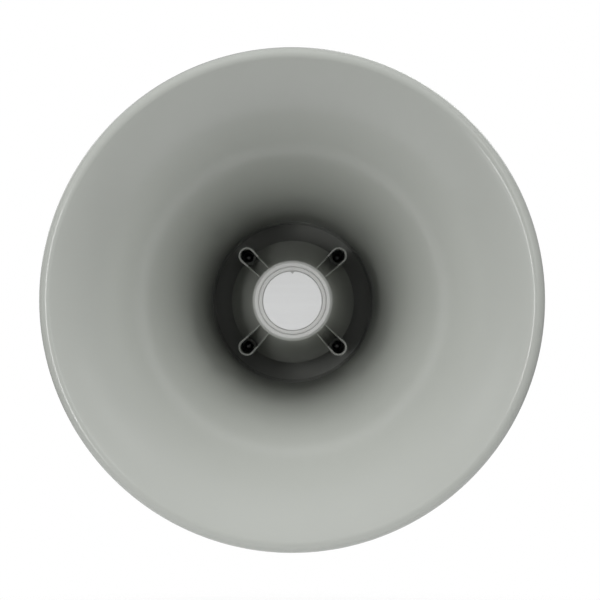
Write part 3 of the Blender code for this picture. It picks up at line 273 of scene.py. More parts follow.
def round_places(count, radius, first=EIGHTH):
    """Transforms that set things evenly round the Y axis, each turned to face outward."""
    places = []
    for i in range(count):
        angle = first + 2 * math.pi * i / count
        spot = Vector((radius * math.cos(angle), 0, radius * math.sin(angle)))
        places.append(Matrix.Translation(spot) @ Matrix.Rotation(-angle, 4, "Y"))
    return places


def set_round(make, count, radius, first=EIGHTH):
    return gathered([placed(make(), place) for place in round_places(count, radius, first)])


# Pieces

HORN = Matrix.Translation((0, MOUTH, 0))
FLIP = Matrix.Rotation(math.pi, 4, "Z")


def piece(name, bm, look, body, slot, *nodes, sharp=40):
    """A shown piece that rides on a body, takes its material from the look and stands for CAD nodes. The slot
    is not used.
    """
    bmesh.ops.recalc_face_normals(bm, faces=bm.faces)
    mesh = bpy.data.meshes.new(name)
    bm.to_mesh(mesh)
    bm.free()
    mesh.shade_smooth()
    mesh.set_sharp_from_angle(angle=math.radians(sharp))
    mesh.materials.append(look)
    made = bpy.data.objects.new(name, mesh)
    bpy.context.scene.collection.objects.link(made)
    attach(made, body)
    if nodes:
        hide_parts(*nodes)
    return made


def combined(target, tool, operation):
    """One body out of two, as a new bmesh."""
    objects = []
    for name, bm in (("target", target), ("tool", tool)):
        bmesh.ops.recalc_face_normals(bm, faces=bm.faces)
        mesh = bpy.data.meshes.new(name)
        bm.to_mesh(mesh)
        bm.free()
        made = bpy.data.objects.new(name, mesh)
        bpy.context.scene.collection.objects.link(made)
        objects.append(made)
    step = objects[0].modifiers.new("combine", "BOOLEAN")
    step.object = objects[1]
    step.operation = operation
    step.solver = "EXACT"
    bpy.context.view_layer.update()
    done = bmesh.new()
    done.from_object(objects[0], bpy.context.evaluated_depsgraph_get())
    for made in objects:
        mesh = made.data
        bpy.data.objects.remove(made)
        bpy.data.meshes.remove(mesh)
    return done


def bevelled(bm, width, segments=2, least=30):
    """The body with its sharp edges eased."""
    edges = [e for e in bm.edges if len(e.link_faces) == 2 and e.calc_face_angle(0) > math.radians(least)]
    bmesh.ops.bevel(bm, geom=edges, offset=width, segments=segments, profile=0.5, affect="EDGES",
                    clamp_overlap=True)
    return bm


# Materials

def node(tree, kind, **values):
    made = tree.nodes.new(kind)
    for key, value in values.items():
        if key in made.inputs:
            made.inputs[key].default_value = value
        else:
            setattr(made, key, value)
    return made


def surface(name, colour, roughness, metallic=0.0, mottle=0.03, mottle_scale=9.0, grain=900.0, bump=0.04,
            bump_depth=0.0002, rough_spread=0.06, stretch=(1, 1, 1), coat=0.0, coat_roughness=0.2):
    """A procedural finish: broad colour drift, fine grain in the colour, uneven gloss and a small bump."""
    made = bpy.data.materials.new(name)
    made.use_nodes = True
    tree = made.node_tree
    link = tree.links.new
    shader = tree.nodes["Principled BSDF"]
    shader.inputs["Metallic"].default_value = metallic
    shader.inputs["Coat Weight"].default_value = coat
    shader.inputs["Coat Roughness"].default_value = coat_roughness
    place = node(tree, "ShaderNodeTexCoord")
    scaled = node(tree, "ShaderNodeMapping", Scale=stretch)
    link(place.outputs["Object"], scaled.inputs["Vector"])

    broad = node(tree, "ShaderNodeTexNoise", Scale=mottle_scale, Detail=3.0, Roughness=0.5)
    fine = node(tree, "ShaderNodeTexNoise", Scale=grain, Detail=2.0, Roughness=0.6)
    link(scaled.outputs["Vector"], broad.inputs["Vector"])
    link(scaled.outputs["Vector"], fine.inputs["Vector"])

    shades = node(tree, "ShaderNodeValToRGB")
    shades.color_ramp.elements[0].position = 0.3
    shades.color_ramp.elements[1].position = 0.7
    shades.color_ramp.elements[0].color = (*[c * (1 - mottle) for c in colour], 1)
    shades.color_ramp.elements[1].color = (*[min(c * (1 + mottle), 1) for c in colour], 1)
    blend = node(tree, "ShaderNodeMix", data_type="FLOAT")
    blend.inputs[0].default_value = 0.35
    link(broad.outputs["Fac"], blend.inputs[2])
    link(fine.outputs["Fac"], blend.inputs[3])
    link(blend.outputs[0], shades.inputs["Fac"])
    link(shades.outputs["Color"], shader.inputs["Base Color"])

    gloss = node(tree, "ShaderNodeMapRange")
    gloss.inputs["To Min"].default_value = roughness - rough_spread / 2
    gloss.inputs["To Max"].default_value = roughness + rough_spread / 2
    link(broad.outputs["Fac"], gloss.inputs["Value"])
    link(gloss.outputs["Result"], shader.inputs["Roughness"])

    relief = node(tree, "ShaderNodeBump", Strength=bump, Distance=bump_depth)
    link(fine.outputs["Fac"], relief.inputs["Height"])
    link(relief.outputs["Normal"], shader.inputs["Normal"])
    return made


BELL_PAINT = surface("bell_paint", (0.50, 0.515, 0.48), 0.24, mottle=0.012, bump=0.05, grain=700, coat=0.6,
                     coat_roughness=0.15)
HOUSING_PAINT = surface("housing_paint", (0.48, 0.49, 0.46), 0.42, mottle=0.02, bump=0.12, grain=1100)
REFLECTOR_PLASTIC = surface("reflector_plastic", (0.49, 0.50, 0.47), 0.50, mottle=0.012, bump=0.05,
                            grain=1500)
CAP_PLASTIC = surface("cap_plastic", (0.62, 0.62, 0.605), 0.36, mottle=0.01, bump=0.04, grain=1500)
BADGE_METAL = surface("badge_metal", (0.95, 0.95, 0.95), 0.42, metallic=0.25, mottle=0.03, mottle_scale=30,
                      grain=500, stretch=(0.15, 1, 4), bump=0.05)
BRACKET_PAINT = surface("bracket_paint", (0.48, 0.49, 0.46), 0.45, mottle=0.02, bump=0.14, grain=900)
DRIVER_PAINT = surface("driver_paint", (0.47, 0.48, 0.45), 0.45, mottle=0.02, bump=0.16, grain=900)
ZINC = surface("zinc", (0.62, 0.62, 0.60), 0.32, metallic=1.0, mottle=0.10, mottle_scale=120, grain=2500,
               bump=0.05, rough_spread=0.15)
DARK_PLASTIC = surface("dark_plastic", (0.022, 0.022, 0.023), 0.45, mottle=0.1, bump=0.10, grain=2500)
GLAND_PLASTIC = surface("gland_plastic", (0.09, 0.09, 0.09), 0.45, mottle=0.08, bump=0.10, grain=2000)
RUBBER = surface("rubber", (0.03, 0.03, 0.03), 0.75, mottle=0.15, bump=0.25, grain=1500)
FIBRE = surface("fibre", (0.12, 0.06, 0.03), 0.7, mottle=0.2, mottle_scale=200, bump=0.4, grain=1200)
BARE_ALUMINIUM = surface("bare_aluminium", (0.72, 0.72, 0.73), 0.38, metallic=1.0, mottle=0.04, grain=1200,
                         stretch=(1, 6, 1), bump=0.06)
STEEL = surface("steel", (0.48, 0.48, 0.49), 0.34, metallic=1.0, mottle=0.06, grain=1500, bump=0.06)
FERRITE = surface("ferrite", (0.04, 0.04, 0.045), 0.6, mottle=0.2, bump=0.25, grain=1800)
LAMINATION = surface("lamination", (0.20, 0.20, 0.21), 0.45, metallic=0.8, mottle=0.2, grain=1400,
                     stretch=(0.2, 2, 0.2), bump=0.4)
WINDING_TAPE = surface("winding_tape", (0.60, 0.42, 0.05), 0.4, mottle=0.08, mottle_scale=80, bump=0.2,
                       grain=900)
LEAD_INSULATION = surface("lead_insulation", (0.45, 0.03, 0.02), 0.42, mottle=0.05, bump=0.05)
FILM = surface("film", (0.38, 0.22, 0.08), 0.3, mottle=0.08, mottle_scale=60, bump=0.05)
SURROUND_CLOTH = surface("surround_cloth", (0.20, 0.12, 0.05), 0.8, mottle=0.25, mottle_scale=300, bump=0.5,
                         grain=1500)
COPPER = surface("copper", (0.80, 0.36, 0.20), 0.3, metallic=1.0, mottle=0.08, grain=1500, stretch=(1, 8, 1),
                 bump=0.4)
WHITE_MARK = surface("white_mark", (0.75, 0.75, 0.73), 0.5, mottle=0.03)


# Bell

def bell_line():
    """Inner face of the bell's sheet, from the flange's edge to the end of the rolled lip."""
    lip_centre = (LIP_RADIUS, MOUTH_RADIUS - LIP_RADIUS)
    lip = arc(lip_centre, LIP_RADIUS, math.pi + LIP_START, QUARTER, 24)
    lip += arc(lip_centre, LIP_RADIUS, QUARTER, math.pi - LIP_END, 24)[1:]
    start = (BELL_END - NECK_STRAIGHT, NECK_RADIUS)
    end = lip[0]
    lean = Vector((math.sin(LIP_START), -math.cos(LIP_START))) * MOUTH_PULL
    pulled = (end[0] + lean.x, end[1] + lean.y)
    flare = curve(start, (start[0] - FLARE_PULL, NECK_RADIUS), pulled, end, 48)
    bend = 0.0012
    flange = [
        (BELL_END, FLANGE_RADIUS),
        (BELL_END, NECK_RADIUS + bend),
        (BELL_END - 0.3 * bend, NECK_RADIUS + 0.3 * bend),
        (BELL_END - bend, NECK_RADIUS),
    ]
    return flange + flare[:-1] + lip


def make_bell():
    outline = rounded(sheet(bell_line(), BELL_SHEET), 0.0003, 2)
    bell = placed(turned(outline, BELL_SIDES), HORN)
    piece("bell_shell", bell, BELL_PAINT, "horn", "bell_paint", "outer_bell")
    front, back = back_of("bell_gasket", 0), back_of("bell_gasket", 1)
    inside = NECK_RADIUS + BELL_SHEET
    outline = [(front, inside), (front, FLANGE_RADIUS), (back, FLANGE_RADIUS), (back, inside)]
    outline = rounded(outline, 0.0003)
    gasket = placed(turned(outline, BODY_SIDES), HORN)
    piece("bell_seal_ring", gasket, RUBBER, "horn", "rubber", "bell_gasket")


# Reflector, cap and badge

def reflector_line(count):
    start = (REFLECTOR_FRONT, REFLECTOR_NOSE)
    end = (REFLECTOR_BACK, REFLECTOR_RIM)
    lean = Vector((math.cos(RIM_SLOPE), math.sin(RIM_SLOPE))) * RIM_PULL
    first = (start[0] + NOSE_PULL, start[1] + NOSE_LEAN)
    return curve(start, first, (end[0] - lean.x, end[1] - lean.y), end, count)


def ear_path():
    """Middle line of an ear's two ribs and the wall round its well, with the thickness at each point."""
    inner_end = REFLECTOR_NOSE - REFLECTOR_WALL / 4 - WELL_CIRCLE
    at_nose = (RIB_SPACING + RIB_WALL) / 2
    bend = arc((0, 0), WELL_RADIUS + WELL_WALL / 2, -QUARTER, QUARTER, 25)
    count = 10
    shares = [i / count for i in range(count)]
    rib = [(inner_end * (1 - t), at_nose + (bend[-1][1] - at_nose) * t, RIB_WALL + (WELL_WALL - RIB_WALL) * t)
           for t in shares]
    there = [(x, -z, thickness) for x, z, thickness in rib]
    return there + [(x, z, WELL_WALL) for x, z in bend] + rib[::-1]


def ear():
    """Ribs and well wall with a rounded front edge. The well's centre is the origin and the axis is at -X."""
    path = ear_path()
    ear_inside = WELL_CIRCLE - WELL_RADIUS - WELL_WALL
    sections = []
    for i, (x, z, thickness) in enumerate(path):
        before = path[max(i - 1, 0)]
        after = path[min(i + 1, len(path) - 1)]
        way = Vector((after[0] - before[0], after[1] - before[1])).normalized()
        side = Vector((way.y, -way.x)) * thickness / 2
        reach = math.hypot(WELL_CIRCLE + x, z)
        share = min(max((reach - REFLECTOR_NOSE) / (ear_inside - REFLECTOR_NOSE), 0), 1)
        front = RIB_FRONT + (EAR_FRONT - RIB_FRONT) * share
        section = [(x - side.x, RIB_BACK, z - side.y)]
        for step in range(7):
            lean = math.pi * step / 6
            across = -math.cos(lean)
            back = front + thickness / 2 * (1 - math.sin(lean))
            section.append((x + side.x * across, back, z + side.y * across))
        section.append((x + side.x, RIB_BACK, z + side.y))
        sections.append(section)
    return lofted(sections)


def make_reflector():
    outer = reflector_line(40)
    inner = offset(outer, REFLECTOR_WALL)
    disc_back = REFLECTOR_FRONT + REFLECTOR_DISC
    inside = [point for point in inner if point[0] > disc_back + REFLECTOR_WALL]
    rim = arc((REFLECTOR_BACK - 0.0004, REFLECTOR_RIM - 0.0016), 0.0013, 1.2, -1.2, 7)
    outline = [(REFLECTOR_FRONT, 0)] + outer[:-1] + rim + inside[:-1][::-1] + [
        (disc_back, inner[0][1]),
        (disc_back, DEFLECTOR_RADIUS),
        (disc_back + DEFLECTOR_HEIGHT, 0),
    ]
    shell = turned(outline, BODY_SIDES)
    middle = offset(outer, REFLECTOR_WALL / 2)
    core = [(REFLECTOR_FRONT - PAST, 0), (REFLECTOR_FRONT - PAST, middle[0][1])] + middle
    core += [(REFLECTOR_BACK + PAST, middle[-1][1]), (REFLECTOR_BACK + PAST, 0)]
    walls = combined(set_round(ear, WELLS, WELL_CIRCLE), turned(core, BODY_SIDES), "DIFFERENCE")
    shell = combined(shell, walls, "UNION")
    leg = WELL_RADIUS + WELL_WALL + LEG_EXTRA
    legs = set_round(lambda: rod(LEG_FRONT, HOUSING_FRONT - GAP, leg, 40, 0.0006), WELLS, WELL_CIRCLE)
    shell = combined(shell, legs, "UNION")
    seat = HOUSING_FRONT - GAP - WELL_FLOOR
    wells = set_round(lambda: rod(WELL_START, seat, WELL_RADIUS, 36), WELLS, WELL_CIRCLE)
    shell = combined(shell, wells, "DIFFERENCE")
    piece("reflector_shell", placed(shell, HORN), REFLECTOR_PLASTIC, "horn", "reflector_plastic", "reflector",
          sharp=32)


def make_cap():
    back = back_of("cap_ring", 1)
    floor = back_of("badge_disc", 1) + GAP
    recess = BADGE_RADIUS + BADGE_PLAY
    outline = [
        (floor, 0),
        (floor, recess),
        (CAP_FRONT + 0.0003, recess),
        (CAP_FRONT, recess + 0.0003),
        (CAP_FRONT, GROOVE_RADIUS - GROOVE_HALF),
        (CAP_FRONT + GROOVE_DEPTH, GROOVE_RADIUS - 0.6 * GROOVE_HALF),
        (CAP_FRONT + GROOVE_DEPTH, GROOVE_RADIUS + 0.6 * GROOVE_HALF),
        (CAP_FRONT, GROOVE_RADIUS + GROOVE_HALF),
    ]
    outline += [(CAP_FRONT, CAP_RADIUS - 0.0028), (CAP_FRONT + 0.0048, CAP_RADIUS - 0.0002)]
    outline += [(back, CAP_RADIUS), (back, 0)]
    cap = placed(turned(rounded(outline, 0.0002, 2), 144), HORN)
    piece("cap_moulding", cap, CAP_PLASTIC, "horn", "cap_plastic", "cap_ring")

    front, rear = back_of("badge_disc", 0), back_of("badge_disc", 1)
    outline = [
        (front, 0),
        (front, BADGE_RADIUS - BADGE_EASE),
        (front + BADGE_EASE, BADGE_RADIUS),
        (rear, BADGE_RADIUS),
        (rear, 0),
    ]
    notch = [(-0.0032, BADGE_RADIUS + 0.0008), (0, BADGE_RADIUS - 0.0028), (0.0032, BADGE_RADIUS + 0.0008)]
    badge = combined(turned(outline, 144), prism(notch, front - 0.001, rear + 0.001, "Y"), "DIFFERENCE")
    piece("badge_plate", placed(badge, HORN), BADGE_METAL, "horn", "badge_metal", "badge_disc")


# Rear housing

def make_housing():
    disc_back = PIVOT_BACK - 0.0085
    shoulder = disc_back + 0.040
    bore = 0.0105
    cone = curve((disc_back + 0.0005, 0.062), (disc_back + 0.012, 0.056), (shoulder - 0.02, 0.034),
                 (shoulder - 0.006, 0.033), 14)
    outline = [
        (HOUSING_FRONT, 0.0134),
        (HOUSING_FRONT, FLANGE_RADIUS),
        (disc_back, FLANGE_RADIUS),
        (disc_back, 0.062),
        *cone[1:],
        (shoulder, 0.033),
        (shoulder, 0.0173),
        (STUB_END, 0.0173),
        (STUB_END, bore),
    ]
    body = turned(rounded(outline, 0.0012), BODY_SIDES)
    across = Matrix.Rotation(-QUARTER, 4, "Z")
    at_pivot = Matrix.Translation((0, PIVOT_BACK, 0))
    lugs = gathered([
        rod(-LUG_REACH, -0.030, 0.015, 48, 0.0010),
        rod(0.030, LUG_REACH, 0.015, 48, 0.0010),
    ])
    body = combined(body, placed(lugs, across, at_pivot), "UNION")
    piece("housing_casting", placed(body, HORN), HOUSING_PAINT, "horn", "housing_paint", "rear_housing",
          sharp=32)


# Bracket

def make_bracket():
    bend = 0.014
    corner = STRAP_OUTSIDE - bend
    width = 0.0500
    arm_end = PIVOT.y - width
    left = arc((-corner, -bend), bend, math.pi, QUARTER, 17)
    right = arc((corner, -bend), bend, QUARTER, 0, 17)
    line = [(-STRAP_OUTSIDE, arm_end)] + left + right + [(STRAP_OUTSIDE, arm_end)]
    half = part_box("bracket")[1].z
    strap = prism(sheet(line, STRAP_THICKNESS), -half - 0.001, half + 0.001, "Z")
    side = arc((PIVOT.y, 0), half, -QUARTER, -3 * QUARTER, 33) + [(0.01, half), (0.01, -half)]
    wide = STRAP_OUTSIDE + 0.01
    strap = combined(strap, prism(side, -wide, wide, "X"), "INTERSECT")
    hole = placed(rod(-wide, wide, 0.0045, 32), Matrix.Rotation(-QUARTER, 4, "Z"), Matrix.Translation(PIVOT))
    holes = [hole]
    for side_sign in (-1, 1):
        holes.append(placed(rod(-0.01, 0.005, 0.0045, 32), Matrix.Translation((side_sign * 0.040, 0, 0))))
    strap = combined(strap, gathered(holes), "DIFFERENCE")
    strap = bevelled(strap, 0.0006, 2, 40)
    piece("bracket_strap", strap, BRACKET_PAINT, "bracket", "bracket_paint", "bracket", sharp=32)


# Fasteners

def hex_bolt(across_flats, height, shank, length):
    """Hexagon bolt with its seat at the origin and its shank along +Y."""
    flat = across_flats / 2
    return lofted([
        ring(-height, 0.86 * flat),
        ring(-height + 0.0002, 0.93 * flat),
        ring(-height + 0.0011, hexagon(across_flats)),
        ring(-0.0004, hexagon(across_flats)),
        ring(-0.0003, 0.95 * flat),
        ring(0, 0.95 * flat),
        ring(0.0001, shank),
        ring(length - 0.0006, shank),
        ring(length, 0.8 * shank),
    ])


def cross_screw(head, height, shank, length):
    """Pan-head screw with a cross recess, its seat at the origin and its shank along +Y."""
    dome = curve((-height, 0), (-height, 0.55 * head), (-0.75 * height, head), (-0.25 * height, head), 10)
    outline = dome + [(0, head), (0, shank), (length - 0.0005, shank), (length, 0.75 * shank), (length, 0)]
    body = turned(outline, 40)
    depth, arm, half = 0.65 * height, 0.55 * head, 0.11 * head
    for turn in (0, QUARTER):
        corners = [
            (-arm, -height - 0.001),
            (arm, -height - 0.001),
            (arm, -height + 0.2 * depth),
            (0.45 * arm, -height + depth),
            (-0.45 * arm, -height + depth),
            (-arm, -height + 0.2 * depth),
        ]
        slot = placed(prism(corners, -half, half, "Z"), Matrix.Rotation(turn, 4, "Y"))
        body = combined(body, slot, "DIFFERENCE")
    return body


def washer(inside, outside, thickness):
    outline = [(0, inside), (0, outside), (thickness, outside), (thickness, inside)]
    return turned(rounded(outline, 0.0002, 2), SMALL_SIDES)


def set_screws(kind, name, make, count, radius, back, look=ZINC, slot="zinc", first=EIGHTH, flip=False):
    """The same fastener on each of its CAD places round the horn's axis."""
    for number, place in enumerate(round_places(count, radius, first), 1):
        steps = [FLIP] if flip else []
        body = placed(make(), *steps, place, Matrix.Translation((0, back, 0)), HORN)
        piece(f"{name}_{number}", body, look, "horn", slot, f"{kind}_{number}")


def make_fasteners():
    seat = BELL_END - BELL_SHEET - GAP
    length = back_of("bell_bolt_1", 1) - seat
    bolt_circle = FLANGE_RADIUS - 0.006
    set_screws("bell_bolt", "flange_bolt", lambda: hex_bolt(0.008, 0.0035, 0.0025, length), 4, bolt_circle,
               seat)
    seat = back_of("reflector_screw_1", 0) + 0.00325
    length = back_of("reflector_screw_1", 1) - seat
    set_screws("reflector_screw", "well_screw", lambda: cross_screw(0.00475, 0.00325, 0.0025, length), 4,
                WELL_CIRCLE, seat)
    seat = back_of("cover_screw_1", 1) - 0.0026
    length = seat - back_of("cover_screw_1", 0)
    set_screws("cover_screw", "rear_screw", lambda: cross_screw(0.0038, 0.0026, 0.0020, length), 4,
               EAR_CIRCLE, seat, flip=True)
    for name, side in (("left", -1), ("right", 1)):
        inward = Matrix.Rotation(side * QUARTER, 4, "Z")

        def at(reach, inward=inward, side=side):
            return [inward, Matrix.Translation(PIVOT + Vector((side * reach, 0, 0)))]

        reach = LUG_REACH + GAP + 0.003
        pad = placed(washer(0.0043, 0.0135, 0.003), *at(reach))
        piece(f"friction_pad_{name}", pad, FIBRE, "horn", "fibre", f"friction_washer_{name}")
        reach = STRAP_OUTSIDE + GAP + 0.0016
        piece(f"flat_washer_{name}", placed(washer(0.0043, 0.009, 0.0016), *at(reach)), ZINC, "horn", "zinc",
              f"bolt_washer_{name}")
        reach += GAP
        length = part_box(f"tilt_bolt_{name}")[1].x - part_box(f"tilt_bolt_{name}")[0].x - 0.0053
        bolt = placed(hex_bolt(0.013, 0.0053, 0.004, length), *at(reach))
        piece(f"pivot_bolt_{name}", bolt, ZINC, "horn", "zinc", f"tilt_bolt_{name}")


# Driver and rear cover

def make_driver():
    front, back = back_of("driver_gasket", 0), back_of("driver_gasket", 1)
    outline = rounded([(front, 0.018), (front, 0.032), (back, 0.032), (back, 0.018)], 0.0003, 2)
    gasket = placed(turned(outline, BODY_SIDES), HORN)
    piece("driver_seal_ring", gasket, RUBBER, "horn", "rubber", "driver_gasket")

    hole = 0.0176
    motor = DRIVER_FRONT + 0.0365
    chamber = DRIVER_FRONT + 0.028
    outline = [
        (DRIVER_FRONT, hole),
        (DRIVER_FRONT, 0.034),
        (DRIVER_FRONT + 0.006, 0.037),
        (DRIVER_FRONT + 0.016, DRIVER_RADIUS - 0.004),
        (DRIVER_FRONT + 0.021, DRIVER_RADIUS),
        (DRIVER_BACK, DRIVER_RADIUS),
        (DRIVER_BACK, 0.0505),
        (motor, 0.0505),
        (motor, 0.0415),
        (chamber, 0.0415),
        (chamber, 0.0219),
        (DRIVER_FRONT + 0.023, 0.0219),
        (DRIVER_FRONT + 0.023, 0.0175),
        (DRIVER_FRONT + 0.0186, 0.0105),
        (DRIVER_FRONT + 0.0156, 0.0105),
        (DRIVER_FRONT + 0.0156, hole),
    ]
    body = turned(rounded(outline, 0.0010), BODY_SIDES)
    ears = set_round(lambda: rod(DRIVER_BACK - 0.014, DRIVER_BACK, 0.0065, 32, 0.0008), 4, EAR_CIRCLE)
    bore = rod(DRIVER_BACK - 0.03, DRIVER_BACK + 0.01, DRIVER_RADIUS - 0.002, BODY_SIDES)
    body = combined(body, combined(ears, bore, "DIFFERENCE"), "UNION")
    piece("driver_casting", placed(body, HORN), DRIVER_PAINT, "horn", "driver_paint", "driver_body", sharp=32)

    front, back = back_of("cover_gasket", 0), back_of("cover_gasket", 1)
    outline = rounded([(front, 0.051), (front, 0.0547), (back, 0.0547), (back, 0.051)], 0.0003, 2)
    gasket = placed(turned(outline, BODY_SIDES), HORN)
    piece("cover_seal_ring", gasket, RUBBER, "horn", "rubber", "cover_gasket")


GLAND_BACK = (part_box("gland_nut")[0].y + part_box("gland_nut")[1].y) / 2 - MOUTH
GLAND_FRAME = Matrix.Translation((0, GLAND_BACK, 0)) @ Matrix.Rotation(-QUARTER, 4, "X")
SWITCH_DROP = 0.0260


def make_rear_cover():
    wall = DRIVER_RADIUS - 0.0032
    outline = [
        (COVER_END - 0.004, 0),
        (COVER_END - 0.004, wall),
        (COVER_FRONT, wall),
        (COVER_FRONT, DRIVER_RADIUS),
    ]
    edge = arc((COVER_END - 0.005, DRIVER_RADIUS - 0.005), 0.005, QUARTER, 0, 9)
    outline += edge + [(COVER_END, 0)]
    body = turned(rounded(outline, 0.0006), BODY_SIDES)
    ears = set_round(lambda: rod(COVER_FRONT, COVER_FRONT + 0.014, 0.0065, 32, 0.0008), 4, EAR_CIRCLE)
    boss = placed(rod(wall + 0.001, 0.0585, 0.0125, 48, 0.0008), GLAND_FRAME)
    inside = rod(COVER_FRONT - 0.01, COVER_END - 0.004, wall + 0.0008, BODY_SIDES)
    bosses = combined(gathered([ears, boss]), inside, "DIFFERENCE")
    body = combined(body, bosses, "UNION")
    at_switch = Matrix.Translation((0, 0, -SWITCH_DROP))
    shaft = placed(rod(COVER_END - 0.008, COVER_END + 0.01, 0.0035, 32), at_switch)
    gland = placed(rod(wall - 0.01, 0.0685, 0.0083, 40), GLAND_FRAME)
    body = combined(body, gathered([shaft, gland]), "DIFFERENCE")
    piece("cover_casting", placed(body, HORN), DRIVER_PAINT, "horn", "driver_paint", "rear_cover", sharp=32)


def make_knob():
    grip = fluted(0.0110, 0.0007, 14)
    length = 0.0100
    rings = [
        ring(-0.009, 0.003, 112),
        ring(0.0004, 0.003, 112),
        ring(0.0005, lambda t: grip(t) * 0.97, 112),
        ring(0.0010, grip, 112),
        ring(length - 0.0014, lambda t: grip(t) * 0.97, 112),
        ring(length - 0.0004, lambda t: grip(t) * 0.93, 112),
        ring(length, lambda t: grip(t) * 0.87, 112),
    ]
    place = Matrix.Translation((0, COVER_END, -SWITCH_DROP))
    slot = box((-0.0008, length - 0.0009, 0.002), (0.0008, length + 0.01, 0.0085))
    knob = combined(lofted(rings), slot, "DIFFERENCE")
    knob = placed(knob, place, HORN)
    piece("knob_moulding", knob, DARK_PLASTIC, "selector", "knob_plastic", "selector_knob", sharp=35)
    mark = box((-0.0007, length - 0.0009, 0.0021), (0.0007, length - 0.0003, 0.0084))
    piece("knob_mark", placed(mark, place, HORN), WHITE_MARK, "selector", "knob_plastic")


def make_gland():
    seat = -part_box("gland_body")[0].z - 0.0055
    flats = 0.021
    bore = 0.0038
    body = lofted([
        ring(seat - 0.010, 0.0078),
        ring(seat - 0.0098, 0.008),
        ring(seat - 0.0001, 0.008),
        ring(seat, 0.94 * flats / 2),
        ring(seat + 0.0006, hexagon(flats)),
        ring(seat + 0.0048, hexagon(flats)),
        ring(seat + 0.0055, 0.94 * flats / 2),
    ])
    body = combined(body, rod(seat - 0.02, seat + 0.02, bore, 40), "DIFFERENCE")
    body = placed(body, GLAND_FRAME, HORN)
    piece("gland_fitting", body, GLAND_PLASTIC, "horn", "gland_plastic", "gland_body", sharp=30)
    start = seat + 0.0055 + GAP
    seal_end = start + 0.0091
    end = start + 0.013
    outline = rounded([(start, bore), (start, 0.0062), (seal_end, 0.0062), (seal_end, bore)], 0.0004)
    piece("gland_sleeve", placed(turned(outline, SMALL_SIDES), GLAND_FRAME, HORN), RUBBER, "horn", "rubber",
          "gland_seal")
    side = fluted(0.00966, 0.0004, 12)
    nut = lofted([
        ring(start, lambda t: side(t) * 0.97, 96),
        ring(start + 0.0005, side, 96),
        ring(seal_end - 0.002, side, 96),
        ring(seal_end - 0.001, 0.0092, 96),
        ring(seal_end + 0.0015, 0.0080, 96),
        ring(end - 0.0004, 0.0062, 96),
        ring(end, 0.0057, 96),
    ])
    inside = [
        (start - 0.001, 0),
        (start - 0.001, 0.0065),
        (seal_end + GAP, 0.0065),
        (seal_end + GAP, bore + GAP),
        (end + 0.001, bore + GAP),
        (end + 0.001, 0),
    ]
    nut = combined(nut, turned(inside, 40), "DIFFERENCE")
    nut = placed(nut, GLAND_FRAME, HORN)
    piece("gland_cap", nut, GLAND_PLASTIC, "horn", "gland_plastic", "gland_nut", sharp=30)


# CAD nodes that keep their shape

CARRIED = {
    "throat_horn": BARE_ALUMINIUM, "phase_plug": DARK_PLASTIC, "diaphragm": FILM, "voice_coil": COPPER,
    "diaphragm_surround": SURROUND_CLOTH, "clamp_ring": BARE_ALUMINIUM, "top_plate": STEEL, "magnet": FERRITE,
    "pole_yoke": STEEL, "transformer_core": LAMINATION, "transformer_winding": WINDING_TAPE,
    "transformer_strap": ZINC, "terminal_block": DARK_PLASTIC, "tap_switch": DARK_PLASTIC,
    "lead_wire_1": LEAD_INSULATION, "lead_wire_2": LEAD_INSULATION, "cap_screw": ZINC,
}
CARRIED.update({f"throat_screw_{n}": ZINC for n in (1, 2, 3)})
CARRIED.update({f"motor_screw_{n}": ZINC for n in (1, 2, 3)})
CARRIED.update({f"transformer_screw_{n}": ZINC for n in (1, 2)})


def dress_carried_nodes():
    for name, look in CARRIED.items():
        frame["nodes"][name].material_slots[0].material = look


# Light, floor and camera

def aimed(location, target):
    return (Vector(target) - Vector(location)).to_track_quat("-Z", "Y").to_euler()


def panel(name, azimuth, elevation, distance, width, height, power, mirrored=True):
    """A soft panel that faces the middle of the mouth.

    Azimuth 0 is in front, and positive is to the right. A panel that isn't mirrored lights the object but is
    left out of its reflections.
    """
    a, e = math.radians(azimuth), math.radians(elevation)
    target = Vector((0, MOUTH, 0))
    way = Vector((math.sin(a) * math.cos(e), -math.cos(a) * math.cos(e), math.sin(e)))
    data = bpy.data.lights.new(name, "AREA")
    data.shape = "RECTANGLE"
    data.size = width
    data.size_y = height
    data.energy = power
    made = bpy.data.objects.new(name, data)
    made.location = target + way * distance
    made.rotation_euler = aimed(made.location, target)
    made.visible_camera = False
    made.visible_glossy = mirrored
    bpy.context.scene.collection.objects.link(made)


def make_lights():
    panel("left_key", -29, -4, 2.2, 0.15, 1.3, 9)
    panel("right_key", 25, 14, 2.3, 0.45, 0.85, 2)
    panel("left_panel", -60, 22, 2.2, 0.8, 1.0, 11, mirrored=False)
    panel("right_panel", 60, 30, 2.4, 0.6, 1.3, 11, mirrored=False)
    panel("top_panel", 0, 55, 2.2, 2.4, 1.4, 17, mirrored=False)
    panel("back_panel", 150, 35, 2.2, 1.6, 1.0, 8)
    panel("back_left_panel", -140, 20, 2.4, 1.2, 1.2, 5)


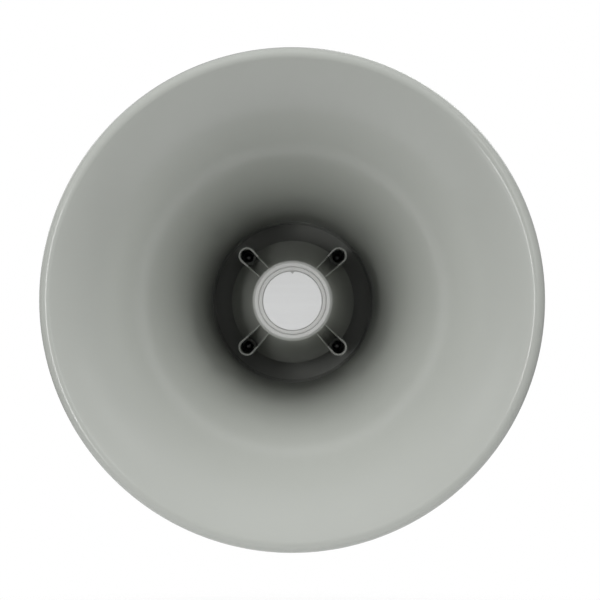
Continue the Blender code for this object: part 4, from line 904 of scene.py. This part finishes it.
def make_world():
    world = bpy.data.worlds.new("studio")
    world.use_nodes = True
    tree = world.node_tree
    tree.nodes.clear()
    out = node(tree, "ShaderNodeOutputWorld")
    seen = node(tree, "ShaderNodeBackground", Color=(1, 1, 1, 1), Strength=1.0)
    fill = node(tree, "ShaderNodeBackground", Color=(0.97, 0.985, 1, 1))
    way = node(tree, "ShaderNodeTexCoord")
    parts = node(tree, "ShaderNodeSeparateXYZ")
    rise = node(tree, "ShaderNodeMapRange")
    rise.inputs["From Min"].default_value = -1
    rise.inputs["To Min"].default_value = 0.02
    rise.inputs["To Max"].default_value = 0.45
    tree.links.new(way.outputs["Generated"], parts.inputs[0])
    tree.links.new(parts.outputs["Z"], rise.inputs["Value"])
    tree.links.new(rise.outputs["Result"], fill.inputs["Strength"])
    pick = node(tree, "ShaderNodeMixShader")
    path = node(tree, "ShaderNodeLightPath")
    tree.links.new(path.outputs["Is Camera Ray"], pick.inputs["Fac"])
    tree.links.new(fill.outputs["Background"], pick.inputs[1])
    tree.links.new(seen.outputs["Background"], pick.inputs[2])
    tree.links.new(pick.outputs["Shader"], out.inputs["Surface"])
    bpy.context.scene.world = world


def make_floor():
    """Pale round floor under the horn that fades out towards its edge."""
    reach = 1.35
    look = surface("floor_paint", (0.90, 0.90, 0.90), 0.8, mottle=0.01, bump=0.02)
    tree = look.node_tree
    shader = tree.nodes["Principled BSDF"]
    shader.inputs["Emission Color"].default_value = (1, 1, 1, 1)
    shader.inputs["Emission Strength"].default_value = 0.05
    place = node(tree, "ShaderNodeTexCoord")
    span = node(tree, "ShaderNodeVectorMath", operation="LENGTH")
    fade = node(tree, "ShaderNodeMapRange", interpolation_type="SMOOTHSTEP")
    fade.inputs["From Min"].default_value = 0.35 * reach
    fade.inputs["From Max"].default_value = reach
    fade.inputs["To Min"].default_value = 1
    fade.inputs["To Max"].default_value = 0
    tree.links.new(place.outputs["Object"], span.inputs[0])
    tree.links.new(span.outputs["Value"], fade.inputs["Value"])
    tree.links.new(fade.outputs["Result"], shader.inputs["Alpha"])
    bm = bmesh.new()
    bmesh.ops.create_circle(bm, cap_ends=True, radius=reach, segments=96)
    mesh = bpy.data.meshes.new("studio_floor")
    bm.to_mesh(mesh)
    bm.free()
    mesh.materials.append(look)
    floor = bpy.data.objects.new("studio_floor", mesh)
    floor.location = (0, MOUTH / 2, -0.50)
    bpy.context.scene.collection.objects.link(floor)


def make_camera():
    distance = 2.1
    aside = Vector((0.0050, 0, -0.0140))
    aim = Vector((0.0078, MOUTH, -0.0002))
    data = bpy.data.cameras.new("camera")
    data.lens = 126.7
    data.sensor_width = 36
    made = bpy.data.objects.new("camera", data)
    made.location = Vector((0, MOUTH - distance, 0)) + aside
    made.rotation_euler = aimed(made.location, aim)
    bpy.context.scene.collection.objects.link(made)
    bpy.context.scene.camera = made


make_camera()
make_bell()
make_reflector()
make_cap()
make_housing()
make_bracket()
make_fasteners()
make_driver()
make_rear_cover()
make_knob()
make_gland()
dress_carried_nodes()
make_world()
make_lights()
make_floor()
bpy.context.scene.view_settings.view_transform = "Standard"
bpy.context.scene.view_settings.look = "None"
